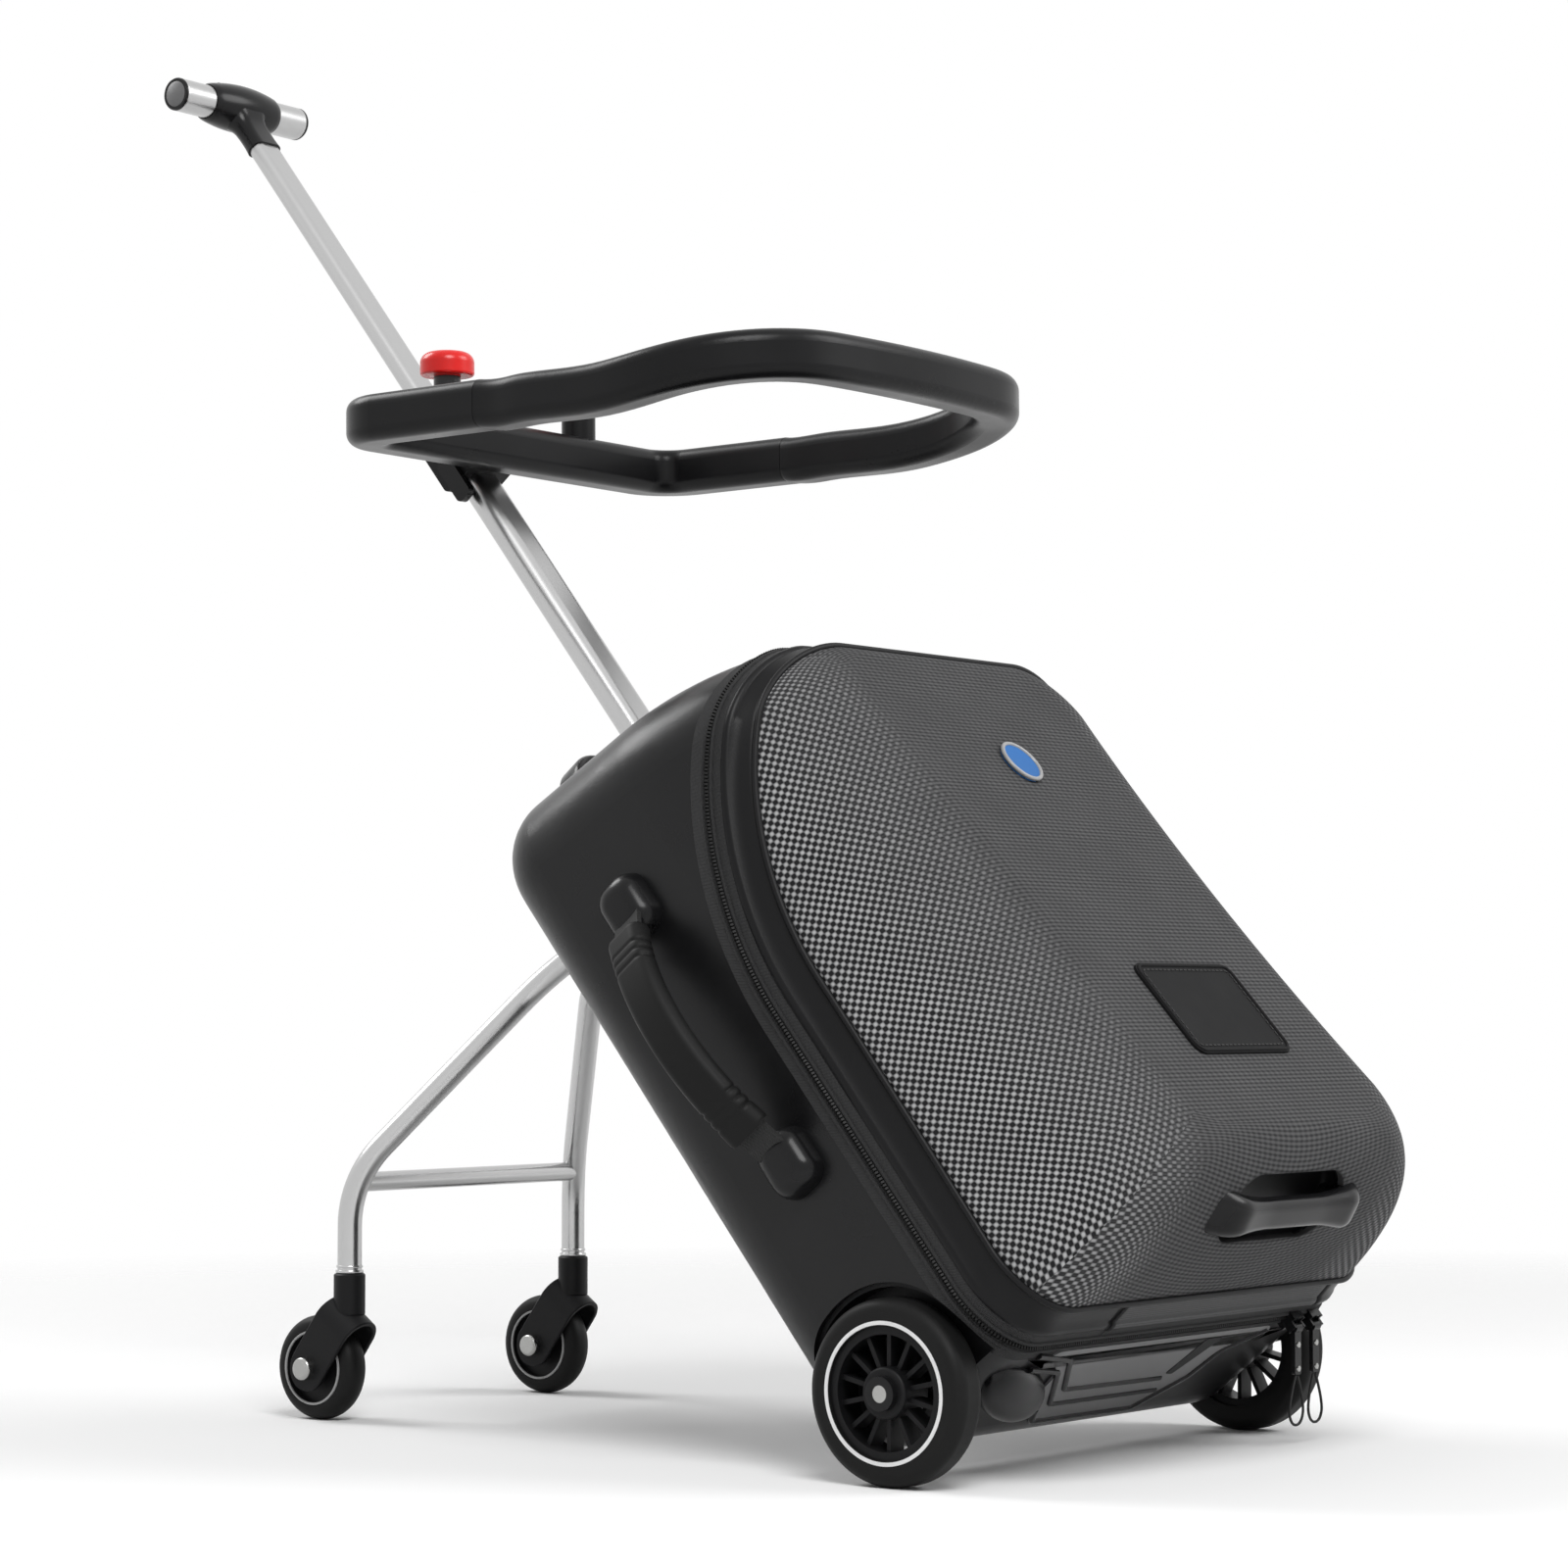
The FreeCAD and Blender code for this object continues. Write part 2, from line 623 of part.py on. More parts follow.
# Case and lid walls
form = case_form("0")
hollow = case_form("case_wall")
proud = case_form("-tape_thick")
arches = fuse(*[
    rod("arch_radius", "arch_deep + overrun", spot("%d * arch_in" % sign, "0", "0"), ACROSS * sign)
    for word, sign in SIDES
])
walls = cut(form, hollow, arches)
skin = cut(proud, form, arches)
slot = oval("lower_wide + 2 * part_gap", "lower_deep + 2 * part_gap", "well_start + well_wall",
            "case_high + overrun", "pole_back")
to_gap = behind_split("0 - split_gap / 2")
to_tape = behind_split("0 - tape_wide")
past_gap = behind_split("split_gap / 2")
past_tape = behind_split("tape_wide")
past_band = behind_split("rim_band")
node("back_shell", cut(common(walls, to_gap), slot), CASE)
node("shell_zip_tape", cut(common(skin, to_gap), to_tape), CASE)
node("lid_zip_tape", cut(common(skin, past_tape), past_gap), CASE)
node("lid_rim", cut(common(walls, past_band), past_gap), CASE)
FRONT_HANDLE = Placement(spot("0", "-front_handle_depth", "-front_handle_drop"),
                         Rotation(ACROSS, 180 + n("front_handle_angle")))


def finger_room(grown):
    """The hollow behind the front handle, grown by a wall."""
    side = "recess_half + %s" % grown
    face = "recess_high / 2 + %s" % grown
    almost = "(recess_high + 2 * %s) * oval_share" % grown
    body = padded(new_body(), "XZ_Plane", [
        ("-(%s)" % side, "-(%s)" % face, almost),
        (side, "-(%s)" % face, almost),
        (side, face, almost),
        ("-(%s)" % side, face, almost),
    ], "2 * (recess_deep + %s)" % grown)
    body.Placement = FRONT_HANDLE
    return body


tray = common(finger_room("case_wall"), form)
node("lid_shell", cut(fuse(cut(walls, past_band), tray), finger_room("0")), CASE)

# Running gear of the case
for word, sign in SIDES:
    outward = ACROSS * sign
    cup = rod("arch_radius", "arch_deep + arch_wall",
              spot("%d * (arch_in - arch_wall)" % sign, "0", "0"), outward)
    room = rod("arch_radius - arch_wall", "case_half", spot("%d * arch_in" % sign, "0", "0"), outward)
    boss = rod("boss_radius", "arch_in - axle_in", spot("%d * axle_in" % sign, "0", "0"), outward)
    bore = rod("axle_root", "case_half", spot("%d * (axle_in - overrun)" % sign, "0", "0"), outward)
    liner = cut(common(fuse(cut(cup, room), boss), hollow), bore)
    node("arch_liner_" + word, liner, CASE)
    stub = spun(new_body(), [
        ("axle_in", "0"),
        ("axle_in", "axle_root"),
        ("arch_in", "axle_root"),
        ("arch_in", "axle_collar"),
        ("wheel_out - wheel_width - part_gap", "axle_collar"),
        ("wheel_out - wheel_width - part_gap", "axle_radius"),
        ("wheel_out + part_gap", "axle_radius"),
        ("wheel_out + part_gap", "axle_head"),
        ("wheel_out + part_gap + axle_head_thick", "axle_head"),
        ("wheel_out + part_gap + axle_head_thick", "0"),
    ])
    facing = Placement(Vector(0, 0, 0), Rotation(UP, 0 if sign > 0 else 180))
    node("wheel_axle_" + word, stub, Placement(CASE.Base, facing.Rotation))
    hub_at = spot("%d * (wheel_out - wheel_width / 2)" % sign, "0", "wheel_radius")
    hub_place = Placement(hub_at, facing.Rotation)
    tyre = spun(new_body(), [
        ("-wheel_width / 2", "rim_radius"),
        ("-wheel_width / 2", "wheel_radius", "wheel_round"),
        ("wheel_width / 2", "wheel_radius", "wheel_round"),
        ("wheel_width / 2", "rim_radius"),
    ])
    node("wheel_tyre_" + word, tyre, hub_place)
    hub = spun(new_body(), [
        ("-wheel_width / 2", "axle_radius + running_gap"),
        ("-wheel_width / 2", "barrel_radius", "rim_inset"),
        ("wheel_width / 2", "barrel_radius", "rim_inset"),
        ("wheel_width / 2", "axle_radius + running_gap"),
    ])
    padded(hub, "YZ_Plane", [
        ("-spoke_thick / 2", "barrel_radius - rim_inset"),
        ("spoke_thick / 2", "barrel_radius - rim_inset"),
        ("spoke_thick / 2", "rim_deep + rim_inset"),
        ("-spoke_thick / 2", "rim_deep + rim_inset"),
    ], "spoke_wide")
    spoke = hub.Tip
    around = hub.newObject("PartDesign::PolarPattern", "Spokes")
    around.Originals = [spoke]
    around.Axis = ([line for line in hub.Origin.OriginFeatures if line.Role == "X_Axis"][0], [""])
    around.Angle = 360
    bind(around, Occurrences="spoke_count")
    hub.Tip = around
    doc.recompute()
    spun(hub, [
        ("rim_inset - wheel_width / 2", "rim_deep"),
        ("rim_inset - wheel_width / 2", "rim_radius"),
        ("wheel_width / 2 - rim_inset", "rim_radius"),
        ("wheel_width / 2 - rim_inset", "rim_deep"),
    ])
    node("wheel_hub_" + word, hub, hub_place)

plate = padded(new_body(), "XY_Plane", [
    ("-plate_half", "-plate_front", "plate_round"),
    ("plate_half", "-plate_front", "plate_round"),
    ("plate_half", "plate_back", "plate_round"),
    ("-plate_half", "plate_back", "plate_round"),
], "plate_thick", both=False, back=True)
plate.Placement.Base = spot("0", "0", "case_low")
grooves = []
groove_shares = ((-0.82, -0.5), (-0.4, -0.06), (0.06, 0.4), (0.5, 0.82))
for index, (near, far) in enumerate(groove_shares):
    middle = "(plate_back - plate_front) / 2"
    for step in (-1, 1):
        centre = "%s + %d * groove_share * plate_groove" % (middle, step)
        tool = box(
            ("%s * plate_half" % near, "%s * plate_half" % far),
            ("%s - plate_groove / 2" % centre, "%s + plate_groove / 2" % centre),
            ("case_low - plate_thick - overrun", "case_low - plate_thick + plate_groove_deep"),
        )
        grooves.append(tool)
feet = []
for word, sign in SIDES:
    foot = spun(new_body(), [
        ("0", "0"),
        ("0", "foot_radius"),
        ("foot_drop", "foot_radius", "foot_round"),
        ("foot_drop", "0"),
    ])
    foot_at = spot("%d * foot_out" % sign, "(plate_back - plate_front) / 2", "case_low - plate_thick")
    foot.Placement = Placement(foot_at, Rotation(ACROSS, -UP))
    feet.append(foot)
node("base_plate", fuse(cut(plate, *grooves), *feet), CASE)

# Pole in its housing
housing = box(("-well_half", "well_half"),
              ("pole_back - lower_deep / 2 - well_wall", "case_back"),
              ("well_start", "well_end"))
rib_room = box(("well_wall - well_half", "well_half - well_wall"),
               ("pole_back + lower_deep / 2 + well_wall", "case_back"),
               ("well_start - overrun", "well_end + overrun"))
node("pole_housing", cut(common(housing, hollow), slot, rib_room), CASE)
flange = oval("collar_wide", "collar_deep", "well_end - overrun", "collar_end", "pole_back")
node("pole_collar", cut(flange, form, slot), CASE)
pipe = cut(
    oval("lower_wide", "lower_deep", "lower_start", "lower_end", "pole_back"),
    oval("lower_wide - 2 * lower_wall", "lower_deep - 2 * lower_wall", "lower_start - overrun",
         "lower_end + overrun", "pole_back"),
)
node("pole_lower", pipe, CASE)
inner_pipe = cut(
    oval("upper_wide", "upper_deep", "upper_start", "upper_end", "pole_back"),
    oval("upper_wide - 2 * upper_wall", "upper_deep - 2 * upper_wall", "upper_start - overrun",
         "upper_end + overrun", "pole_back"),
)
bar_way = rod("tee_core", "4 * tee_half", spot("-2 * tee_half", "pole_back", "tee_height"), ACROSS)
node("pole_upper", cut(inner_pipe, bar_way), CASE)

# Cross handle
TEE = Placement(CASE.multVec(spot("0", "pole_back", "tee_height")), CASE.Rotation)
bar = spun(new_body(), [
    ("-tee_half", "0"),
    ("-tee_half", "tee_radius", "tee_radius / 4"),
    ("-tee_sleeve_half - part_gap", "tee_radius"),
    ("-tee_sleeve_half - part_gap", "tee_core"),
    ("tee_sleeve_half + part_gap", "tee_core"),
    ("tee_sleeve_half + part_gap", "tee_radius"),
    ("tee_half", "tee_radius", "tee_radius / 4"),
    ("tee_half", "0"),
])
node("tee_bar", bar, TEE)
sleeve = spun(new_body(), [
    ("-tee_sleeve_half", "0"),
    ("-tee_sleeve_half", "tee_sleeve_edge"),
    ("-tee_sleeve_half / 2", "tee_sleeve", "tee_sleeve_half"),
    ("tee_sleeve_half / 2", "tee_sleeve", "tee_sleeve_half"),
    ("tee_sleeve_half", "tee_sleeve_edge"),
    ("tee_sleeve_half", "0"),
])
sleeve.Placement.Base = spot("0", "pole_back", "tee_height")


def oval_section(wide, deep, height):
    sketch = doc.addObject("Sketcher::SketchObject", "Sketch")
    side = "(%s) / 2" % wide
    face = "(%s) / 2" % deep
    bend = "(%s) * oval_share" % deep
    outline(sketch, [
        ("-" + side, "-" + face, bend),
        (side, "-" + face, bend),
        (side, face, bend),
        ("-" + side, face, bend),
    ])
    sketch.Placement.Base = spot("0", "pole_back", height)
    return sketch


neck = loft([
    oval_section("neck_foot_wide", "neck_foot_deep", "neck_start"),
    oval_section("neck_wide", "neck_deep", "tee_height"),
], True)
press = box(("-trigger_wide / 2 - part_gap", "trigger_wide / 2 + part_gap"),
            ("pole_back - trigger_deep / 2 - part_gap", "pole_back + trigger_deep / 2 + part_gap"),
            ("tee_height + tee_radius", "tee_height + overrun"))
bar_hole = rod("tee_core", "4 * tee_half", spot("-2 * tee_half", "pole_back", "tee_height"), ACROSS)
pole_hole = oval("upper_wide", "upper_deep", "neck_start - overrun", "tee_height", "pole_back")
node("tee_body", cut(fuse(sleeve, neck), bar_hole, pole_hole, press), CASE)
trigger = padded(new_body(), "XY_Plane", [
    ("-trigger_wide / 2", "-trigger_deep / 2", "trigger_deep / 4"),
    ("trigger_wide / 2", "-trigger_deep / 2", "trigger_deep / 4"),
    ("trigger_wide / 2", "trigger_deep / 2", "trigger_deep / 4"),
    ("-trigger_wide / 2", "trigger_deep / 2", "trigger_deep / 4"),
], "trigger_rise + trigger_sink - trigger_travel - part_gap", both=False)
trigger_at = spot("0", "pole_back", "tee_height + tee_radius + trigger_travel + part_gap")
node("handle_trigger", trigger, Placement(CASE.multVec(trigger_at), CASE.Rotation))

# Guard ring: bar of rounded section round a plan drawn on its own plane
MID = "guard_wide / 2"
ARM = "guard_half - guard_wide / 2"
RING_SECTION = (
    ("-guard_wide / 2", "-guard_high / 2", "guard_edge"),
    ("guard_wide / 2", "-guard_high / 2", "guard_edge"),
    ("guard_wide / 2", "guard_high / 2", "guard_edge"),
    ("-guard_wide / 2", "guard_high / 2", "guard_edge"),
)


def on_plan(x, y):
    return spot(x, y, "guard_high / 2")


def ring_section(place, along):
    """The bar's upright section where the ring runs along a direction."""
    sketch = doc.addObject("Sketcher::SketchObject", "Sketch")
    outline(sketch, RING_SECTION)
    sketch.Placement = Placement(place, Rotation(along.cross(UP), UP, -along, "XYZ"))
    return sketch


def guard_bar(points):
    return sweep(ring_section(points[0][0], (points[1][0] - points[0][0]).normalize()), track(points))


def stepped_up(x, y):
    """A place on the front half, where the ring steps up towards its front."""
    share = (-y - n("guard_rise_start")) / n("guard_rise_end - guard_rise_start")
    share = min(max(share, 0), 1)
    return Vector(x, y, n("guard_high / 2") + n("guard_rise") * share * share * (3 - 2 * share))


BACK_RUN = [
    (on_plan("-(%s)" % ARM, "-guard_split + part_gap"), "0"),
    (on_plan("-(%s)" % ARM, "-(%s)" % MID), "guard_corner - guard_wide / 2"),
    (on_plan(ARM, "-(%s)" % MID), "guard_corner - guard_wide / 2"),
    (on_plan(ARM, "-guard_split + part_gap"), "0"),
]
back_bar = guard_bar(BACK_RUN)
arm = n(ARM)
bend = n("guard_corner_front - guard_wide / 2")
tip = n("guard_long - guard_wide / 2")
straight = tip - bend - n("guard_split")
arm_shares = (0, 0.25, 0.5, 0.75)
turn_shares = (0, 0.2, 0.4, 0.6, 0.8, 1)
run = [(stepped_up(-arm, -n("guard_split") - straight * share), Vector(0, -1, 0)) for share in arm_shares]
for share in turn_shares:
    turn = math.pi / 2 * share
    place = stepped_up(bend - arm - bend * math.cos(turn), bend - tip - bend * math.sin(turn))
    run.append((place, Vector(math.sin(turn), -math.cos(turn), 0)))
mirrored = []
for place, along in reversed(run):
    mirrored.append((Vector(-place.x, place.y, place.z), Vector(along.x, -along.y, 0)))
front_bar = loft([ring_section(place, along) for place, along in run + mirrored], False)
sockets = []
tongues = []
for word, sign in SIDES:
    middle = "%d * (%s)" % (sign, ARM)
    sockets.append(box(
        ("%s - tongue_wide / 2 - part_gap" % middle, "%s + tongue_wide / 2 + part_gap" % middle),
        ("-guard_split - overrun", "socket_long - guard_split"),
        ("guard_high / 2 - tongue_high / 2 - part_gap", "guard_high / 2 + tongue_high / 2 + part_gap"),
    ))
    tongues.append(box(
        ("%s - tongue_wide / 2" % middle, "%s + tongue_wide / 2" % middle),
        ("-guard_split - tongue_root", "tongue_long - guard_split"),
        ("guard_high / 2 - tongue_high / 2", "guard_high / 2 + tongue_high / 2"),
    ))
stem_holes = []
button_sleeves = []
for word, sign in SIDES:
    base = spot("%d * button_out" % sign, "-(%s)" % MID, "guard_high - button_sink")
    stem_holes.append(rod("button_stem + part_gap", "overrun + button_sink", base, UP))
    button_sleeves.append(rod("button_sleeve", "button_sleeve_high + button_sink", base, UP))
pole_cut = oval("lower_wide", "lower_deep", "lower_start", "lower_end + overrun", "pole_back")
pole_cut.Placement = CASE.multiply(pole_cut.Placement)
back_half = cut(fuse(back_bar, *button_sleeves), *sockets, *stem_holes)
back_half.Placement = GUARD
node("guard_back", cut(back_half, pole_cut))
front_half = fuse(front_bar, *tongues)
node("guard_front", front_half, GUARD)
for word, sign in SIDES:
    brim = "guard_high + button_sleeve_high + button_gap"
    button = spun(new_body(), [
        ("guard_high - button_sink + button_gap", "0"),
        ("guard_high - button_sink + button_gap", "button_stem"),
        (brim, "button_stem"),
        (brim, "button_cap", "button_cap_round / 4"),
        (brim + " + button_cap_high", "button_cap", "button_cap_round"),
        (brim + " + button_cap_high", "0"),
    ])
    button.Placement = Placement(spot("%d * button_out" % sign, "-(%s)" % MID, "0"), Rotation(ACROSS, UP))
    node("guard_button_" + word, button, GUARD)

# Clamp that holds the ring on the pole
clamp = padded(new_body(), "YZ_Plane", [
    ("pole_back + clamp_behind", "clamp_start", "clamp_round"),
    ("pole_back + clamp_behind", "clamp_end", "clamp_round"),
    ("pole_back - lower_deep / 2 - clamp_wall", "clamp_end"),
    ("pole_back - clamp_front", "clamp_mid"),
    ("pole_back - clamp_front", "clamp_start"),
], "2 * clamp_half")
lower_way = oval("lower_wide", "lower_deep", "clamp_start - overrun", "lower_end", "pole_back")
upper_way = oval("upper_wide + 2 * part_gap", "upper_deep + 2 * part_gap", "clamp_start - overrun",
                 "clamp_end + overrun", "pole_back")
block = cut(clamp, lower_way, upper_way)
block.Placement = CASE
bar_room = guard_bar(BACK_RUN)
bar_room.Placement = GUARD
pivot_hole = rod("lever_pin + running_gap", "lever_thick + 2 * clamp_wall",
                 spot("-clamp_half - lever_thick", "pole_back", "lever_height"), ACROSS)
pivot_hole.Placement = CASE.multiply(pivot_hole.Placement)
node("guard_clamp", cut(block, bar_room, pivot_hole))
lever = padded(new_body(), "YZ_Plane", [
    ("-lever_wide / 2", "-lever_long", "lever_wide / 3"),
    ("lever_wide / 2", "-lever_long", "lever_wide / 3"),
    ("lever_wide / 2", "lever_wide / 2", "lever_wide / 3"),
    ("-lever_wide / 2", "lever_wide / 2", "lever_wide / 3"),
], "lever_thick", both=False, back=True)
pivot = spun(new_body(), [
    ("-lever_thick / 2", "0"),
    ("-lever_thick / 2", "lever_pin"),
    ("clamp_wall", "lever_pin"),
    ("clamp_wall", "0"),
])
node("clamp_lever", fuse(lever, pivot),
     Placement(CASE.multVec(spot("-clamp_half - part_gap", "pole_back", "lever_height")), CASE.Rotation))

# Legs with their hinge
hinge_at = CASE.multVec(spot("0", "hinge_back", "hinge_height"))
hip_way = spot("0", "leg_hip_back", "leg_hip") - hinge_at
hip_way.normalize()
leg_start = hinge_at + hip_way * n("leg_top_reach")
leg_bars = []
for word, sign in SIDES:
    side = str(sign)
    points = [
        (spot(side + " * leg_out", "leg_back", "leg_foot"), "0"),
        (spot(side + " * leg_out", "leg_back", "leg_knee"), "leg_knee_bend"),
        (spot(side + " * leg_hip_out", "leg_hip_back", "leg_hip"), "leg_hip_bend"),
        (leg_start + ACROSS * n(side + " * leg_top_out"), "0"),
    ]
    solid = tube(points, "leg_radius")
    leg_bars.append(solid)
    node("leg_tube_" + word, cut(solid, tube(points, "leg_radius - leg_wall")))
    bush = spun(new_body(), [
        ("0", "stem_radius + running_gap"),
        ("0", "leg_radius - leg_wall"),
        ("bush_end - leg_foot", "leg_radius - leg_wall"),
        ("bush_end - leg_foot", "stem_radius + running_gap"),
    ])
    node("leg_bush_" + word, bush, Placement(points[0][0], Rotation(ACROSS, UP)))
places = [place for place, turned in points]
knee = corner_run(places, [n(turned) for place, turned in points], False)[1][3]
tie = rod("leg_tie_radius", repr(2 * knee.x), Vector(-knee.x, knee.y, knee.z), ACROSS)
node("leg_cross_tube", cut(tie, *leg_bars))
slope = math.atan2(hip_way.z, hip_way.y)
knuckle = padded(new_body(), "YZ_Plane", [
    ("-hinge_eye", "-hinge_eye", "hinge_eye * eye_share"),
    ("hinge_reach", "-hinge_eye", "hinge_eye / 4"),
    ("hinge_reach", "hinge_eye", "hinge_eye / 4"),
    ("-hinge_eye", "hinge_eye", "hinge_eye * eye_share"),
], "2 * hinge_half")
knuckle.Placement = Placement(hinge_at, Rotation(ACROSS, math.degrees(slope)))
pin_hole = rod("hinge_pin + running_gap", "4 * hinge_half", hinge_at - ACROSS * n("2 * hinge_half"), ACROSS)
node("leg_hinge_block", cut(knuckle, pin_hole, *leg_bars))
lugs = []
for word, sign in SIDES:
    lug = padded(new_body(), "YZ_Plane", [
        ("case_back - case_round", "hinge_height - lug_high / 2"),
        ("case_back + bracket_thick", "hinge_height - lug_high / 2"),
        ("hinge_back + lug_eye", "hinge_height - lug_eye", "lug_eye * eye_share"),
        ("hinge_back + lug_eye", "hinge_height + lug_eye", "lug_eye * eye_share"),
        ("case_back - case_round", "hinge_height + lug_high / 3"),
    ], "lug_thick", both=False, back=sign < 0)
    lug.Placement.Base = spot("%d * (hinge_half + part_gap)" % sign, "0", "0")
    lugs.append(lug)
back_plate = box(("-hinge_half - lug_thick", "hinge_half + lug_thick"),
                 ("case_back - case_round", "case_back + bracket_thick"),
                 ("hinge_height - lug_high / 2", "hinge_height - lug_eye"))
lug_hole = rod("hinge_pin", "4 * hinge_half", spot("-2 * hinge_half", "hinge_back", "hinge_height"), ACROSS)
node("leg_bracket", cut(fuse(back_plate, *lugs), form, lug_hole), CASE)
node("leg_pin", rod("hinge_pin", "2 * (hinge_half + lug_thick + part_gap)",
                    hinge_at - ACROSS * n("hinge_half + lug_thick + part_gap"), ACROSS))

# Casters
for word, sign in SIDES:
    place = Placement(spot("%d * leg_out" % sign, "leg_back + caster_trail", "caster_radius"), Rotation())
    fork = padded(new_body(), "YZ_Plane", [
        ("-fork_tip", "-fork_tip", "fork_tip * eye_share"),
        ("-fork_hood", "fork_tip / 2", "fork_tip / 2"),
        ("-fork_hood", "fork_hood", "fork_shoulder"),
        ("fork_heel", "fork_hood", "fork_tip / 2"),
        ("fork_tip", "-fork_tip", "fork_tip * eye_share"),
    ], "2 * fork_half")
    pocketed(fork, "YZ_Plane", [
        ("-fork_room", "-fork_room"),
        ("fork_room", "-fork_room"),
        ("fork_room", "fork_room", "fork_room * eye_share"),
        ("-fork_room", "fork_room", "fork_room * eye_share"),
    ], "2 * fork_slot_half")
    stem = spun(new_body(), [
        ("sleeve_start", "0"),
        ("sleeve_start", "sleeve_radius"),
        ("sleeve_end", "sleeve_radius", "sleeve_radius / 5"),
        ("sleeve_end", "stem_radius"),
        ("stem_end", "stem_radius"),
        ("stem_end", "0"),
    ])
    stem.Placement = Placement(spot("0", "-caster_trail", "0"), Rotation(ACROSS, UP))
    bolt_hole = rod("caster_bolt", "2 * caster_bolt_half", spot("-caster_bolt_half", "0", "0"), ACROSS)
    node("caster_fork_" + word, cut(fuse(fork, stem), bolt_hole), place)
    tread = spun(new_body(), [
        ("-caster_width / 2", "caster_rim"),
        ("-caster_width / 2", "caster_radius", "caster_round"),
        ("caster_width / 2", "caster_radius", "caster_round"),
        ("caster_width / 2", "caster_rim"),
    ])
    node("caster_tyre_" + word, tread, place)
    centre = spun(new_body(), [
        ("-caster_width / 2", "caster_bolt + running_gap"),
        ("-caster_width / 2", "caster_bolt_head"),
        ("-caster_width / 4", "caster_bolt_head + caster_round / 2"),
        ("-caster_width / 4", "caster_rim - caster_round / 2"),
        ("-caster_width / 2", "caster_rim"),
        ("caster_width / 2", "caster_rim"),
        ("caster_width / 4", "caster_rim - caster_round / 2"),
        ("caster_width / 4", "caster_bolt_head + caster_round / 2"),
        ("caster_width / 2", "caster_bolt_head"),
        ("caster_width / 2", "caster_bolt + running_gap"),
    ])
    node("caster_hub_" + word, centre, place)
    bolt = spun(new_body(), [
        ("-caster_bolt_half", "0"),
        ("-caster_bolt_half", "caster_bolt_head", "caster_round / 2"),
        ("-fork_half", "caster_bolt_head"),
        ("-fork_half", "caster_bolt"),
        ("fork_half", "caster_bolt"),
        ("fork_half", "caster_bolt_head"),
        ("caster_bolt_half", "caster_bolt_head", "caster_round / 2"),
        ("caster_bolt_half", "0"),
    ])
    node("caster_bolt_" + word, bolt, place)

# Handles
SIDE_CENTRE = spot("side_curve - case_half - side_bow", "-side_forward", "(side_upper + side_lower) / 2")


def swung(points, half_turn):
    """Part of a turn of an outline of (along, radius), to both sides of its plane."""
    body = new_body()
    turn = body.newObject("PartDesign::Revolution", "Turn")
    turn.Profile = drawn(body, "XY_Plane", points)
    turn.ReferenceAxis = (turn.Profile[0], ["H_Axis"])
    turn.Midplane = True
    bind(turn, Angle="2 * %s" % half_turn)
    doc.recompute()
    body.Placement = Placement(SIDE_CENTRE, Rotation(UP, 90))
    return body


strap = swung([
    ("-side_strap_wide / 2", "side_curve - side_strap_thick / 2"),
    ("side_strap_wide / 2", "side_curve - side_strap_thick / 2"),
    ("side_strap_wide / 2", "side_curve + side_strap_thick / 2"),
    ("-side_strap_wide / 2", "side_curve + side_strap_thick / 2"),
], "side_turn_angle")
grip = swung([
    ("-side_grip_wide / 2", "side_curve - side_grip_thick / 2", "side_grip_thick * grip_share"),
    ("side_grip_wide / 2", "side_curve - side_grip_thick / 2", "side_grip_thick * grip_share"),
    ("side_grip_wide / 2", "side_curve + side_grip_thick / 2", "side_grip_thick * grip_share"),
    ("-side_grip_wide / 2", "side_curve + side_grip_thick / 2", "side_grip_thick * grip_share"),
], "side_grip_angle")
node("side_handle_grip", cut(grip, strap), CASE)
for word in ("upper", "lower"):
    mount = padded(new_body(), "YZ_Plane", [
        ("-side_mount_wide / 2", "-side_mount_long / 2", "side_mount_round"),
        ("side_mount_wide / 2", "-side_mount_long / 2", "side_mount_round"),
        ("side_mount_wide / 2", "side_mount_long / 2", "side_mount_round"),
        ("-side_mount_wide / 2", "side_mount_long / 2", "side_mount_round"),
    ], "side_mount_high", both=False, back=True)
    bind(mount.Tip, TaperAngle="-side_mount_taper_angle")
    doc.recompute()
    mount.Placement.Base = spot("-case_half", "-side_forward", "side_" + word)
    node("side_mount_" + word, cut(mount, strap), CASE)
node("side_handle_strap", cut(strap, form), CASE)

handle_feet = []
for word, sign in SIDES:
    handle_feet.append(rod("top_foot", "top_foot_rise + overrun",
                           spot("%d * top_half" % sign, "top_back", "case_high - overrun"), UP))
top_bar = tube([
    (spot("-top_half", "top_back", "case_high - overrun"), "0"),
    (spot("-top_half", "top_back", "top_height"), "top_bend"),
    (spot("top_half", "top_back", "top_height"), "top_bend"),
    (spot("top_half", "top_back", "case_high - overrun"), "0"),
], "top_radius")
node("top_handle", cut(fuse(top_bar, *handle_feet), form), CASE)

front_run = track([
    (spot("-front_handle_half", "-front_handle_root", "0"), "0"),
    (spot("-front_handle_half", "front_handle_reach", "0"), "front_handle_bend"),
    (spot("front_handle_half", "front_handle_reach", "0"), "front_handle_bend"),
    (spot("front_handle_half", "-front_handle_root", "0"), "0"),
])
front_section = doc.addObject("Sketcher::SketchObject", "Sketch")
outline(front_section, [
    ("-front_handle_thick / 2", "-front_handle_wide / 2", "front_handle_round"),
    ("front_handle_thick / 2", "-front_handle_wide / 2", "front_handle_round"),
    ("front_handle_thick / 2", "front_handle_wide / 2", "front_handle_round"),
    ("-front_handle_thick / 2", "front_handle_wide / 2", "front_handle_round"),
])
front_section.Placement = Placement(spot("-front_handle_half", "-front_handle_root", "0"),
                                    Rotation(ACROSS, 90))
bridge = sweep(front_section, front_run)
